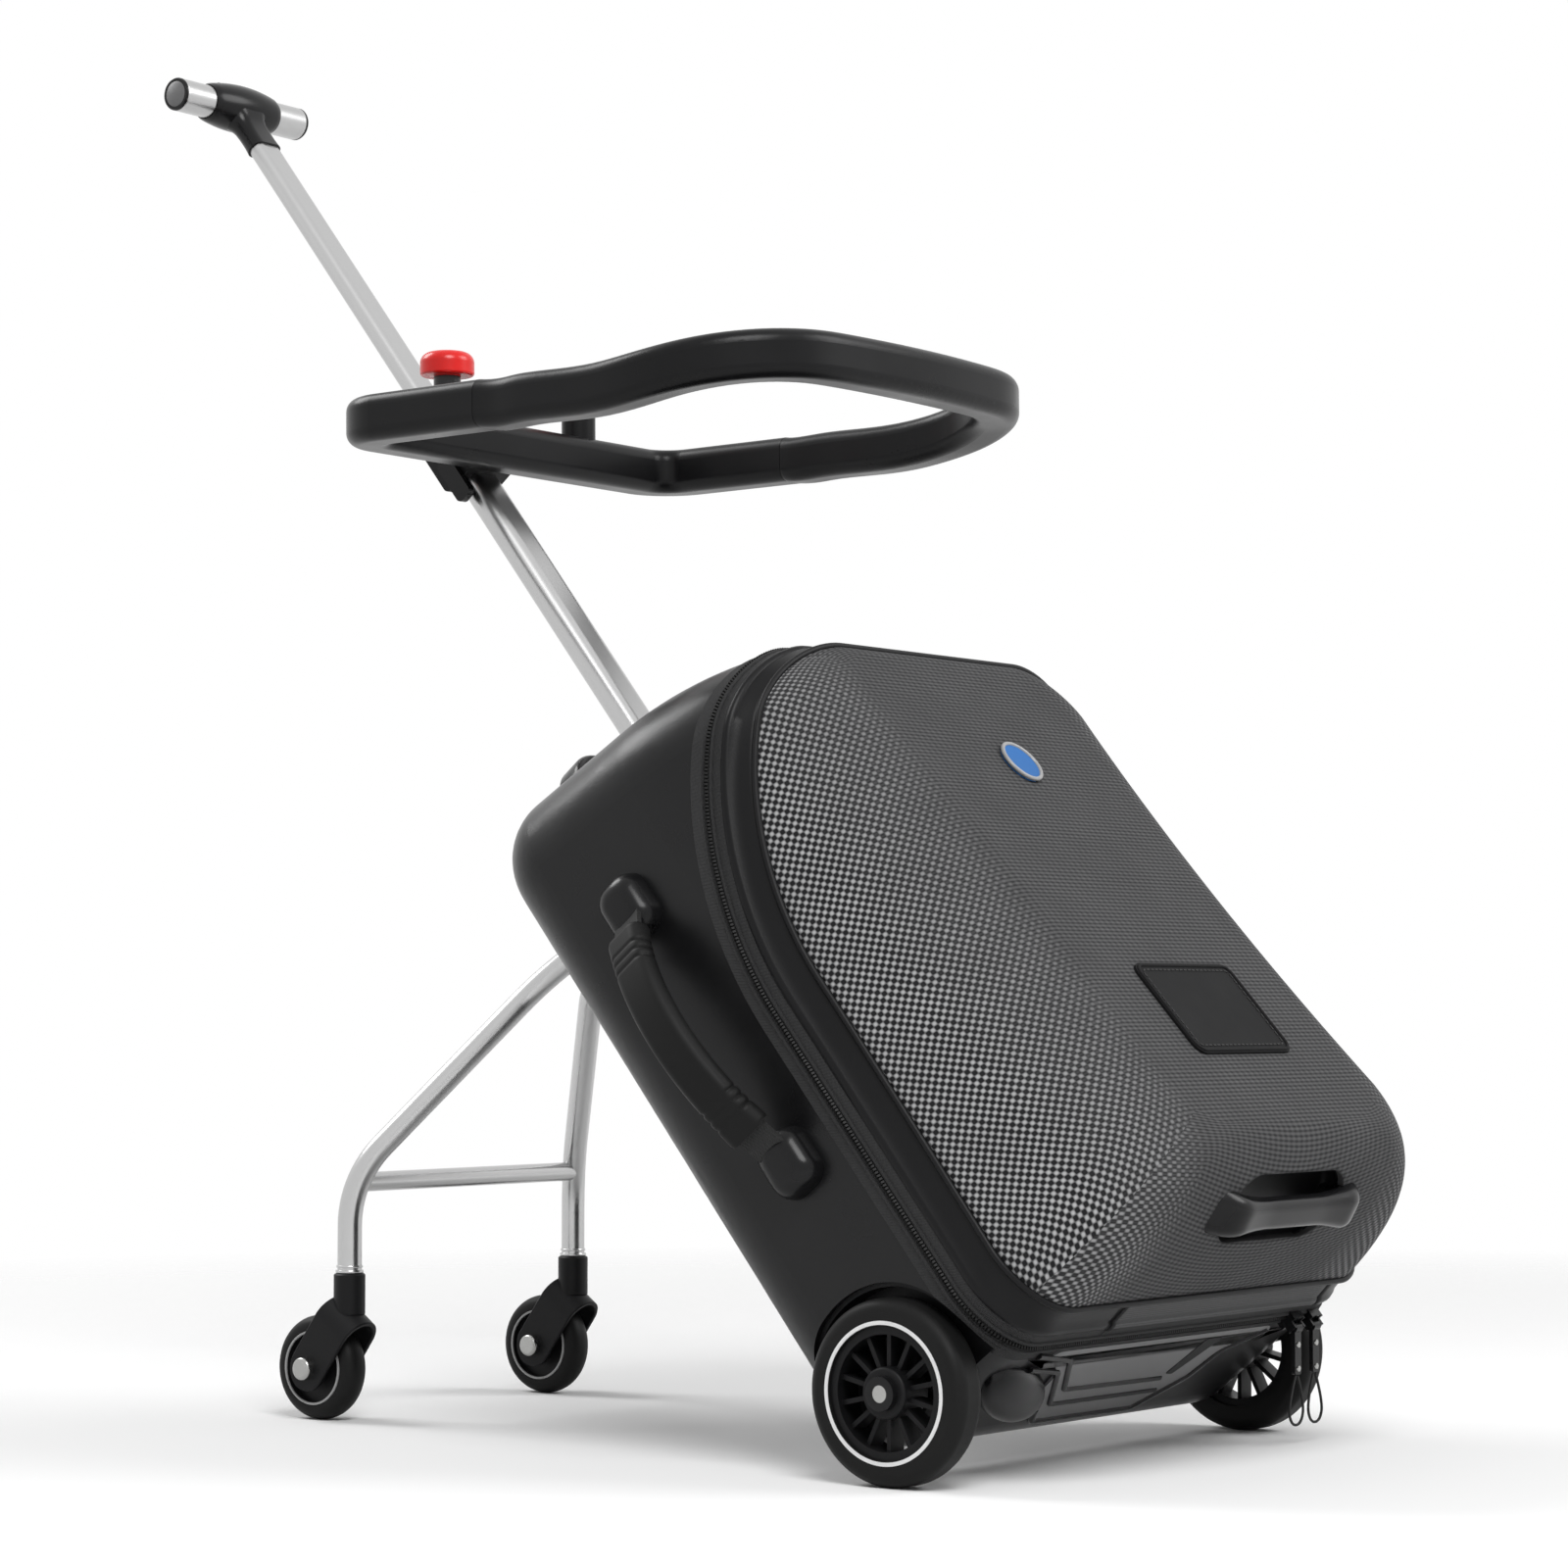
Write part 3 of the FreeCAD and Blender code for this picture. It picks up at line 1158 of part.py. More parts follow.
bridge.Placement = FRONT_HANDLE
node("front_handle", cut(bridge, form), CASE)

# Label and badge on the flat of the lid
FRONT = CASE.multiply(Placement(spot("0", "-front_depth", "front_mid"),
                                Rotation(ACROSS, -n("front_tilt_angle"))))
patch = padded(new_body(), "XZ_Plane", [
    ("-label_half", "label_low - front_mid", "label_round"),
    ("label_half", "label_low - front_mid", "label_round"),
    ("label_half", "label_high - front_mid", "label_round"),
    ("-label_half", "label_high - front_mid", "label_round"),
], "label_thick", both=False)
node("lid_label", patch, FRONT)
node("lid_badge", rod("badge_radius", "badge_thick",
                      spot("0", "0", "badge_height - front_mid"), Vector(0, -1, 0)), FRONT)

# Zip sliders with their pulls and cord loops
PIN_HEIGHT = "case_low - slider_drop"
loop_shares = ((0.12, -0.02), (1, -0.62), (0.62, -1), (-0.5, -1), (-0.9, -0.6), (-0.12, -0.02))
for index, (word, mirror) in enumerate((("a", -1), ("b", 1))):
    middle = "slider_first + %d * slider_pitch" % index
    base = box(("%s - slider_half" % middle, "%s + slider_half" % middle),
               ("-split_depth - slider_long / 2", "-split_depth + slider_long / 2"),
               ("case_low - tape_thick - part_gap - slider_high", "case_low - tape_thick - part_gap"))
    ears = box(("%s - slider_half" % middle, "%s + slider_half" % middle),
               ("-split_depth - slider_eye", "-split_depth + slider_eye"),
               ("%s - slider_eye / 2" % PIN_HEIGHT, "case_low - tape_thick - part_gap - slider_high"))
    between = box(("%s - pull_half - part_gap" % middle, "%s + pull_half + part_gap" % middle),
                  ("-split_depth - slider_long", "-split_depth + slider_long"),
                  ("%s - slider_eye - part_gap" % PIN_HEIGHT, "%s + slider_eye + part_gap" % PIN_HEIGHT))
    pin = rod("slider_pin", "2 * slider_half",
              spot("%s - slider_half" % middle, "-split_depth", PIN_HEIGHT), ACROSS)
    node("zip_slider_" + word, fuse(cut(fuse(base, ears), between), pin), CASE)
    hang = Placement(CASE.multVec(spot(middle, "-split_depth", PIN_HEIGHT)), Rotation())
    eye = rod("slider_eye", "2 * pull_half", spot("-pull_half", "0", "0"), ACROSS)
    tab = padded(new_body(), "XZ_Plane", [
        ("-pull_half", "0"),
        ("-pull_half", "-pull_long", "pull_half / 2"),
        ("pull_half", "-pull_long", "pull_half / 2"),
        ("pull_half", "0"),
    ], "pull_thick")
    pin_way = rod("slider_pin + running_gap", "4 * pull_half", spot("-2 * pull_half", "0", "0"), ACROSS)
    node("zip_pull_" + word, cut(fuse(eye, tab), pin_way), hang)
    places = [
        spot("%s * cord_loop" % (mirror * across), "0", "%s * cord_drop - pull_long" % down)
        for across, down in loop_shares
    ]
    runs = [(after - before) for before, after in zip(places, places[1:])]
    bends = [0.0]
    for before, after in zip(runs, runs[1:]):
        shorter = min(before.Length, after.Length)
        bends.append(n("cord_share") * shorter / math.tan(before.getAngle(after) / 2))
    bends.append(0.0)
    loop = tube([(place, repr(bend)) for place, bend in zip(places, bends)], "cord_radius")
    node("pull_cord_" + word, loop, hang)
    length = sum(edge.Length for edge in loop.Spine[0].Shape.Edges)
    expected = math.pi * n("cord_radius") ** 2 * length
    print("cord", word, "length", round(length, 1), "bends", [round(bend, 1) for bend in bends[1:-1]],
          "volume share", round(loop.Shape.Volume / expected, 4))

doc.recompute()
for thing in doc.Objects:
    if "Invalid" in thing.State or "Error" in thing.State:
        raise RuntimeError("not built: " + thing.Label)
for thing in nodes:
    if thing.Shape.isNull() or not thing.Shape.isValid():
        raise RuntimeError("no sound shape: " + thing.Label)
os.makedirs("parts", exist_ok=True)
for thing in nodes:
    thing.Shape.exportStep("parts/%s.step" % thing.Label)
print(len(nodes), "sub-parts written")
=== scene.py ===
"""Looks of a ride-on suitcase: leaning case, woven lid, guard ring, pole and caster legs."""
import math

import bmesh
import bpy
from mathutils import Matrix, Vector


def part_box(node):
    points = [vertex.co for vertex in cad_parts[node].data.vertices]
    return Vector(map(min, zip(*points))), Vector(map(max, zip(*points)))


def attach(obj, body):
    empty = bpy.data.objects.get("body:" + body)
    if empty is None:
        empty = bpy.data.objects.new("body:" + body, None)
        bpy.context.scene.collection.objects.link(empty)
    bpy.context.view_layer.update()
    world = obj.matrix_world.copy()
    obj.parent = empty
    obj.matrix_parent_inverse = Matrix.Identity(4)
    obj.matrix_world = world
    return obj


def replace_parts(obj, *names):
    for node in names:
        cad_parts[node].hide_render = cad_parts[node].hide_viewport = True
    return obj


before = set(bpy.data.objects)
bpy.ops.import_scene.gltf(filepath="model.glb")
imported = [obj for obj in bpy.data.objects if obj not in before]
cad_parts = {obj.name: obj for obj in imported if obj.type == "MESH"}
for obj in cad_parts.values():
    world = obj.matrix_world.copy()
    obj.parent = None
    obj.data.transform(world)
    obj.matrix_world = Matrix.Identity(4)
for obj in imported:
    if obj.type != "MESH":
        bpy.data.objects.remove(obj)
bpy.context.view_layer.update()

bl_info = {
    "name": "Ride-on suitcase",
    "version": (1, 0, 0),
    "blender": (4, 5, 0),
    "location": "View3D > Sidebar > Suitcase",
    "description": "Dresses the solids of a ride-on suitcase",
    "category": "Object",
}

SIDES = (("left", -1), ("right", 1))
FULL_TURN = 2 * math.pi
QUARTER_TURN = math.pi / 2
CASE_MIDDLE = (0, -0.09, 0.19)
SEAM = 1e-6


def length(label, note, default):
    return bpy.props.FloatProperty(name=label, description=note, default=default, unit="LENGTH", precision=4)


def angle_of(label, note, degrees):
    default = math.radians(degrees)
    return bpy.props.FloatProperty(name=label, description=note, default=default, subtype="ANGLE")


def colour(label, note, default):
    return bpy.props.FloatVectorProperty(name=label, description=note, default=default, subtype="COLOR")


class SuitcaseSizes(bpy.types.PropertyGroup):
    lean: angle_of("Lean", "Backward lean of the case", 38.8)
    axle: length("Axle", "Height of the big-wheel axle", 0.05)
    axle_end: length("Axle end", "End of an axle from the middle", 0.197)
    half: length("Half width", "Half width of the case", 0.184)
    back: length("Back", "Back face behind the axle", 0.052)
    low: length("Underside", "Underside of the case against the axle", -0.02)
    high: length("Top", "Top of the case at the back", 0.43)
    slope: bpy.props.FloatProperty(
        name="Top slope", description="Fall of the top towards the front", default=0.12)
    corner: length("Upper corners", "Upper corner rounding", 0.05)
    corner_low: length("Lower corners", "Lower corner rounding", 0.04)
    front_half: length("Front half width", "Half width of the flat lid front", 0.106)
    front_depth: length("Front depth", "Lid front before the axle", 0.189)
    front_mid: length("Front height", "Height where the lid depth is taken", 0.2)
    front_tilt: angle_of("Front tilt", "Tilt of the lid front", 3.2)
    front_rise: length("Front rise", "Lid front rising from the underside", 0.043)
    front_fall: length("Front fall", "Lid front dropping from the top", 0.025)
    front_corner: length("Front corners", "Corner rounding of the lid front", 0.034)
    waist: length("Waist", "Lid sides drawn in at mid height", 0.012)
    belly: length("Belly", "Lid bulging below the underside", 0.002)
    split: length("Zip line", "Zip line before the axle", 0.064)
    split_turn: length("Zip turn", "Height where the zip line starts to curve", 0.202)
    split_radius: length("Zip curve", "Radius of the zip line's curve", 0.248)
    band: length("Lid band", "Hard band of the lid before the zip", 0.032)
    strip_start: length("Strip start", "Woven strip under the lid, left end", -0.084)
    strip_end: length("Strip end", "Woven strip under the lid, right end", 0.136)
    wheel_out: length("Wheel face", "Outer face of a big wheel from the middle", 0.1936)
    caster_radius: length("Caster radius", "Radius of a caster wheel", 0.032)
    caster_width: length("Caster width", "Width of a caster wheel", 0.0186)
    caster_trail: length("Caster trail", "Caster wheel behind its stem", 0.0224)
    caster_out: length("Caster", "Caster from the middle", 0.107)
    caster_back: length("Caster back", "Caster wheel behind the axle", 0.4854)
    hood_turn: angle_of("Fork turn", "Caster hood leaning to its stem", 54)
    hood_wide: length("Fork hood", "Half width of the caster hood", 0.014)
    hood_mid: length("Fork cheeks", "Middle of a caster cheek from the wheel's middle plane", 0.013)
    leg_radius: length("Leg radius", "Radius of the leg tubes", 0.0075)
    weave: length("Weave", "Repeat of the woven dots", 0.0056)
    recess_half: length("Finger room", "Half length of the hollow behind the front handle", 0.06)
    recess_high: length("Finger room height", "Height of the hollow behind the front handle", 0.044)
    recess_deep: length("Finger room depth", "Depth of the hollow behind the front handle", 0.012)
    handle_depth: length("Front handle", "Front handle before the axle", 0.16)
    handle_drop: length("Front handle drop", "Front handle below the axle", 0.0065)
    handle_angle: angle_of("Front handle turn", "Front handle facing down", 67)
    handle_half: length("Front handle half", "Half length of the front handle", 0.068)
    handle_reach: length("Front handle reach", "Front handle standing off the lid", 0.007)
    side_bow: length("Side handle bow", "Side strap standing off the case", 0.04)
    side_forward: length("Side handle forward", "Side handle before the axle", 0.024)
    side_upper: length("Upper side mount", "Upper mount of the side handle", 0.312)
    side_lower: length("Lower side mount", "Lower mount of the side handle", 0.134)
    side_turn: angle_of("Side strap turn", "Half angle of the side strap", 43)
    grip_turn: angle_of("Side grip turn", "Half angle of the side grip", 31)
    pole_back: length("Pole", "Pole behind the axle", 0.016)
    tee_height: length("Cross bar", "Axis of the cross bar along the pole", 1.053)
    tee_half: length("Cross bar half", "Half length of the cross bar", 0.058)
    tee_radius: length("Cross bar radius", "Radius of the cross bar", 0.011)
    label_half: length("Label half width", "Half width of the label", 0.051)
    label_low: length("Label foot", "Lower edge of the label", 0.07)
    label_high: length("Label head", "Upper edge of the label", 0.136)
    badge_height: length("Badge height", "Badge along the case", 0.293)
    badge_radius: length("Badge radius", "Radius of the badge", 0.014)
    carry_half: length("Carry handle half", "Half length of the carry handle", 0.07)
    carry_back: length("Carry handle back", "Carry handle behind the axle", 0.035)
    carry_top: length("Carry handle top", "Bar of the carry handle along the case", 0.473)
    button_brim: length("Button brim", "Lower edge of the red caps", 0.6466)


class SuitcaseColours(bpy.types.PropertyGroup):
    weave_light: colour("Weave light", "Raised dots of the woven skin", (0.46, 0.46, 0.465))
    weave_dark: colour("Weave dark", "Ground of the woven skin", (0.016, 0.016, 0.017))
    shell: colour("Shell", "Moulded shell", (0.0055, 0.0055, 0.006))
    plastic: colour("Plastic", "Moulded fittings", (0.006, 0.006, 0.0065))
    rubber: colour("Rubber", "Tyres and grips", (0.006, 0.006, 0.006))
    metal: colour("Tubes", "Satin tubes", (0.5, 0.5, 0.5))
    steel: colour("Steel", "Bolts, pins and rivets", (0.38, 0.38, 0.37))
    red: colour("Buttons", "Mushroom buttons", (0.72, 0.008, 0.006))
    stripe: colour("Stripe", "Ring on the tyres", (0.8, 0.8, 0.8))
    grey: colour("Grey", "Caster rings and the badge's rim", (0.3, 0.3, 0.3))
    badge: colour("Badge", "Lacquered disc", (0.035, 0.14, 0.38))
    teeth: colour("Teeth", "Zip teeth", (0.008, 0.008, 0.008))
    # Painted light: this mid grey stands for the black base moulding lit from below; the bar plugs share it.
    pan: colour("Base", "Base moulding and bar plugs", (0.15, 0.15, 0.152))
    cloth: colour("Cloth", "Woven strip under the lid", (0.05, 0.05, 0.051))
    label: colour("Label", "Label patch", (0.008, 0.008, 0.0084))


def sizes():
    return bpy.context.scene.suitcase_sizes


def colours():
    return bpy.context.scene.suitcase_colours


def upright():
    """Frame of the leaning case: x across, y back, z along the pole."""
    s = sizes()
    return Matrix.Translation((0, 0, s.axle)) @ Matrix.Rotation(-s.lean, 4, "X")


def lid_front():
    """Frame of the flat of the lid: x across, -y out of the lid, z up along it."""
    s = sizes()
    place = Matrix.Translation((0, -s.front_depth, s.front_mid))
    return upright() @ place @ Matrix.Rotation(-s.front_tilt, 4, "X")


def front_grip():
    """Frame of the front handle: y points out of the lid."""
    s = sizes()
    turn = Matrix.Rotation(math.pi + s.handle_angle, 4, "X")
    return upright() @ Matrix.Translation((0, -s.handle_depth, -s.handle_drop)) @ turn


def cross_bar():
    """Frame of the cross bar: x along it, z up the pole."""
    s = sizes()
    return upright() @ Matrix.Translation((0, s.pole_back, s.tee_height))


def mirrored(place, sign):
    """Frame at a place, turned to the left or the right side."""
    return Matrix.Translation(place) @ Matrix.Diagonal((sign, 1, 1, 1))


def standing(place):
    """Frame at a place with its x axis pointing up."""
    return Matrix.Translation(place) @ Matrix.Rotation(-QUARTER_TURN, 4, "Y")


def caster_centre(sign):
    s = sizes()
    return Vector((sign * s.caster_out, s.caster_back, s.caster_radius))


def pointing(matrix, way):
    """A direction of a frame."""
    return tuple(matrix.to_3x3() @ Vector(way))


# Finishes


class Nodes:
    """A node tree under construction, with short calls for its nodes."""

    def __init__(self, owner):
        owner.use_nodes = True
        self.tree = owner.node_tree

    def node(self, kind, **values):
        made = self.tree.nodes.new(kind)
        for key, value in values.items():
            if key in made.inputs:
                made.inputs[key].default_value = value
            else:
                setattr(made, key, value)
        return made

    def link(self, source, target):
        self.tree.links.new(source, target)

    def math(self, operation, first, second=None):
        made = self.node("ShaderNodeMath", operation=operation)
        for index, value in enumerate((first, second)):
            if value is None:
                continue
            if hasattr(value, "links"):
                self.link(value, made.inputs[index])
            else:
                made.inputs[index].default_value = value
        return made.outputs[0]

    def ramp(self, value, low, high, start, end):
        limits = {"From Min": low, "From Max": high, "To Min": start, "To Max": end}
        made = self.node("ShaderNodeMapRange", **limits)
        self.link(value, made.inputs["Value"])
        return made.outputs["Result"]


class Finish(Nodes):
    """A material under construction."""

    def __init__(self, name, base, rough, metal=0.0):
        self.material = bpy.data.materials.new(name)
        super().__init__(self.material)
        self.shader = self.tree.nodes["Principled BSDF"]
        self.level("Base Color", (*base, 1))
        self.level("Roughness", rough)
        self.level("Metallic", metal)

    def level(self, name, value):
        self.shader.inputs[name].default_value = value

    def shine(self, value):
        self.level("Specular IOR Level", value)

    def wave(self, kind, value, pitch):
        """A sine or cosine that repeats at a pitch."""
        return self.math(kind, self.math("MULTIPLY", value, FULL_TURN / pitch))

    def parts(self, vector):
        """The x, y and z of a vector."""
        made = self.node("ShaderNodeSeparateXYZ")
        self.link(vector, made.inputs[0])
        return made.outputs[0], made.outputs[1], made.outputs[2]

    def place(self, turn=(0, 0, 0), scale=(1, 1, 1)):
        spot = self.node("ShaderNodeTexCoord")
        mapping = self.node("ShaderNodeMapping", Rotation=turn, Scale=scale)
        self.link(spot.outputs["Object"], mapping.inputs["Vector"])
        return mapping.outputs["Vector"]

    def noise(self, vector, scale, detail=3.0, rough=0.5):
        made = self.node("ShaderNodeTexNoise", Scale=scale, Detail=detail, Roughness=rough)
        self.link(vector, made.inputs["Vector"])
        return made.outputs["Fac"]

    def shade(self, value, dark, light):
        made = self.node("ShaderNodeMix", data_type="RGBA")
        made.inputs[6].default_value = (*dark, 1)
        made.inputs[7].default_value = (*light, 1)
        self.link(value, made.inputs[0])
        self.link(made.outputs[2], self.shader.inputs["Base Color"])

    def rough(self, value):
        self.link(value, self.shader.inputs["Roughness"])

    def bump(self, value, depth, strength=1.0):
        made = self.node("ShaderNodeBump", Distance=depth, Strength=strength)
        self.link(value, made.inputs["Height"])
        self.link(made.outputs["Normal"], self.shader.inputs["Normal"])


def tinted(base, share):
    return tuple(min(1.0, channel * share) for channel in base)


def moulded(name, base, rough, grain=900.0, depth=0.00006, shine=0.16):
    """Moulded plastic: fine spark-eroded grain and slight handling marks."""
    look = Finish(name, base, rough)
    where = look.place()
    wear = look.noise(where, 14.0, 5.0, 0.6)
    look.rough(look.ramp(wear, 0.3, 0.75, rough - 0.05, rough + 0.08))
    look.shade(wear, tinted(base, 0.85), tinted(base, 1.25))
    look.bump(look.noise(where, grain, 2.0), depth)
    look.shine(shine)
    return look.material


def brushed(name, base, rough, way):
    """Satin metal with faint drawing marks along the case, upright or across."""
    turn = {"case": (sizes().lean, 0, 0), "up": (0, 0, 0), "across": (0, QUARTER_TURN, 0)}[way]
    look = Finish(name, base, rough, 1.0)
    marks = look.noise(look.place(turn, (160, 160, 1)), 1.0, 2.0, 0.5)
    look.rough(look.ramp(marks, 0.3, 0.7, rough - 0.004, rough + 0.006))
    look.shade(marks, tinted(base, 0.99), tinted(base, 1.01))
    return look.material


def woven_skin(name, base):
    """Staggered light dots on the flanks, fading to fine lines on the front, on the lid's flat pattern; the
    flanks are painted brighter and the front darker, as painted light and shade.
    """
    repeat = sizes().weave
    look = Finish(name, base, 0.5)
    cells = look.node("ShaderNodeUVMap", uv_map="flat")
    u, v, _ = look.parts(cells.outputs["UV"])
    across = look.wave("COSINE", u, repeat)
    mesh = look.math("MULTIPLY", across, look.wave("COSINE", v, repeat))
    dots = look.ramp(mesh, -0.2, 0.75, 0.0, 1.0)
    # Painted light and shade: full bright dots on the flanks, only faint lines on the front (0.03 to 0.19 of
    # the dots' colour). The dots are the weave's pattern; their brightness on the flanks against the dim
    # front is painted light.
    lit_flank_mask = look.ramp(look.math("ABSOLUTE", u), 0.1, 0.19, 0.0, 1.0)
    lines = look.math("ADD", look.wave("COSINE", v, repeat / 2), look.math("MULTIPLY", across, 0.5))
    front = look.ramp(lines, -1.2, 1.2, 0.03, 0.19)
    shaded_front_lines = look.math("MULTIPLY", front, look.math("SUBTRACT", 1.0, lit_flank_mask))
    mixed = look.math("ADD", look.math("MULTIPLY", dots, lit_flank_mask), shaded_front_lines)
    cloud = look.ramp(look.noise(look.place(), 30.0, 4.0), 0.3, 0.7, 0.88, 1.05)
    look.shade(look.math("MULTIPLY", mixed, cloud), base, colours().weave_light)
    look.rough(look.ramp(mesh, -1.0, 1.0, 0.8, 0.65))
    look.bump(mesh, 0.0003, 0.4)
    look.shine(0.08)
    return look.material


def capped(name, base):
    """Lacquer above the brim of a button, dark plastic below it."""
    brim, blend = sizes().button_brim, 0.0001
    look = Finish(name, base, 0.25)
    height = look.parts(look.place())[2]
    look.shade(look.ramp(height, brim - blend, brim + blend, 0.0, 1.0), colours().plastic, base)
    look.shine(0.4)
    return look.material


def webbing(name, base, pitch):
    """Closely woven tape."""
    look = Finish(name, base, 0.75)
    x, y, z = look.parts(look.place())
    total = look.math("ADD", x, look.math("ADD", y, z))
    less = look.math("SUBTRACT", x, look.math("SUBTRACT", y, z))
    weave = look.math("MULTIPLY", look.wave("SINE", total, pitch), look.wave("SINE", less, pitch))
    look.shade(look.ramp(weave, -1.0, 1.0, 0.0, 1.0), tinted(base, 0.6), tinted(base, 1.8))
    look.bump(weave, 0.0002)
    return look.material


def rubbery(name, base):
    """Rubber with a dusty bloom."""
    look = Finish(name, base, 0.5)
    where = look.place()
    bloom = look.noise(where, 22.0, 6.0, 0.6)
    look.shade(bloom, tinted(base, 0.8), tinted(base, 1.7))
    look.rough(look.ramp(bloom, 0.3, 0.7, 0.42, 0.6))
    look.bump(look.noise(where, 1400.0, 2.0), 0.00005)
    look.shine(0.14)
    return look.material


def enamel(name, base, rough):
    """Lacquer with a faint ripple under a clear coat."""
    look = Finish(name, base, rough)
    ripple = look.noise(look.place(), 60.0, 2.0)
    look.rough(look.ramp(ripple, 0.3, 0.7, rough - 0.04, rough + 0.06))
    look.shade(ripple, tinted(base, 0.94), tinted(base, 1.04))
    look.level("Coat Weight", 0.4)
    look.level("Coat Roughness", 0.06)
    return look.material


# Each finish: its maker, the material's name, its colour and the maker's further values
FINISH_TABLE = {
    "shell": (moulded, "moulded_shell", "shell", 0.3, 700.0, 0.00004, 0.26),
    "band": (moulded, "lid_band", "shell", 0.36, 800.0, 0.00005),
    "plastic": (moulded, "moulded_fittings", "plastic", 0.42),
    "gloss": (moulded, "smooth_fittings", "plastic", 0.24, 500.0, 0.00001, 0.22),
    "guard": (moulded, "guard_ring", "plastic", 0.3, 800.0, 0.00002),
    "badge": (moulded, "badge_lacquer", "badge", 0.5, 500.0, 0.00001, 0.1),
    "teeth": (moulded, "zip_teeth", "teeth", 0.45, 1200.0, 0.00002),
    # Base moulding: painted light, a lighter grey than its black plastic.
    "pan": (moulded, "base_moulding", "pan", 0.4, 900.0, 0.00006, 0.3),
    "label": (moulded, "label_rubber", "label", 0.65, 500.0, 0.00004, 0.1),
    "skin": (woven_skin, "woven_skin", "weave_dark"),
    "tape": (webbing, "zip_tape", "plastic", 0.0016),
    "strap": (webbing, "strap_weave", "rubber", 0.0024),
    "cloth": (webbing, "strip_cloth", "cloth", 0.0024),
    "tyre": (rubbery, "tyre_rubber", "rubber"),
    "grip": (rubbery, "grip_rubber", "rubber"),
    "tube": (brushed, "satin_tube", "metal", 0.3, "case"),
    "leg": (brushed, "satin_leg", "metal", 0.26, "up"),
    "steel": (brushed, "turned_steel", "steel", 0.25, "across"),
    "red": (capped, "red_button", "red"),
    "stripe": (enamel, "white_stripe", "stripe", 0.4),
    "grey": (enamel, "grey_ring", "grey", 0.4),
}
FINISHES = {}


def finish(name):
    """The finish of that name, made once."""
    if name not in FINISHES:
        maker, label, base, *values = FINISH_TABLE[name]
        FINISHES[name] = maker(label, getattr(colours(), base), *values)
    return FINISHES[name]


def dress(node, name):
    """Gives a solid of the frame its finish."""
    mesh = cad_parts[node].data
    mesh.materials.clear()
    mesh.materials.append(finish(name))


# Meshes


def plain_mesh(name, geometry):
    verts, faces = geometry
    mesh = bpy.data.meshes.new(name)
    mesh.from_pydata([tuple(v) for v in verts], [], faces)
    mesh.update()
    return mesh


def faced(mesh, merge=False, middle=None):
    """Turns the faces outward: away from a middle where the shell is open."""
    work = bmesh.new()
    work.from_mesh(mesh)
    if merge:
        bmesh.ops.remove_doubles(work, verts=work.verts, dist=SEAM)
    bmesh.ops.recalc_face_normals(work, faces=work.faces)
    if middle is not None:
        outward = sum((f.calc_center_median() - middle).dot(f.normal) * f.calc_area() for f in work.faces)
        if outward < 0:
            bmesh.ops.reverse_faces(work, faces=work.faces)
    work.to_mesh(mesh)
    work.free()


def add_piece(name, geometry, finish_name, body, stands_for=(), sharp=40):
    """A finished mesh that rides on a body."""
    mesh = plain_mesh(name, geometry)
    faced(mesh, merge=True)
    mesh.shade_smooth()
    mesh.set_sharp_from_angle(angle=math.radians(sharp))
    return settle(bpy.data.objects.new(name, mesh), finish_name, body, stands_for)


def settle(piece, finish_name, body, stands_for=()):
    """Links a piece, gives it its finish and ties it to a body."""
    if piece.name not in bpy.context.scene.collection.objects:
        bpy.context.scene.collection.objects.link(piece)
    piece.data.materials.clear()
    piece.data.materials.append(finish(finish_name))
    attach(piece, body)
    if stands_for:
        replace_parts(piece, *stands_for)
    return piece


def moved(geometry, matrix):
    verts, faces = geometry
    return [matrix @ Vector(v) for v in verts], faces


def joined(*parts):
    verts, faces = [], []
    for more_verts, more_faces in parts:
        start = len(verts)
        verts.extend(more_verts)
        faces.extend(tuple(start + i for i in face) for face in more_faces)
    return verts, faces


def round_angles(count):
    return [FULL_TURN * k / count for k in range(count)]


def disc(radius, segments):
    return [(radius * math.cos(a), radius * math.sin(a)) for a in round_angles(segments)]


def strip(rows, closed_columns=True, closed_rows=False):
    """Faces between rows of equal length."""
    count = len(rows[0])
    faces = []
    for r in range(len(rows) if closed_rows else len(rows) - 1):
        here, there = r * count, (r + 1) % len(rows) * count
        for k in range(count if closed_columns else count - 1):
            m = (k + 1) % count
            faces.append((here + k, here + m, there + m, there + k))
    return [v for row in rows for v in row], faces


def lofted(rows):
    """A solid through closed rows of equal length, with a face on each end."""
    verts, faces = strip(rows)
    count = len(rows[0])
    return verts, faces + [tuple(range(count)), tuple(range(len(verts) - count, len(verts)))]


def lathe(profile, segments, closed=True):
    """Turns an outline of (along, radius) about the X axis."""
    rows = [[(along, radius * math.cos(a), radius * math.sin(a)) for along, radius in profile]
            for a in round_angles(segments)]
    return strip(rows, closed, closed_rows=True)


def turned(name, profile, segments, where, finish_name, body, stands_for=()):
    """A ring turned about the X axis of a frame."""
    return add_piece(name, moved(lathe(profile, segments), where), finish_name, body, stands_for)


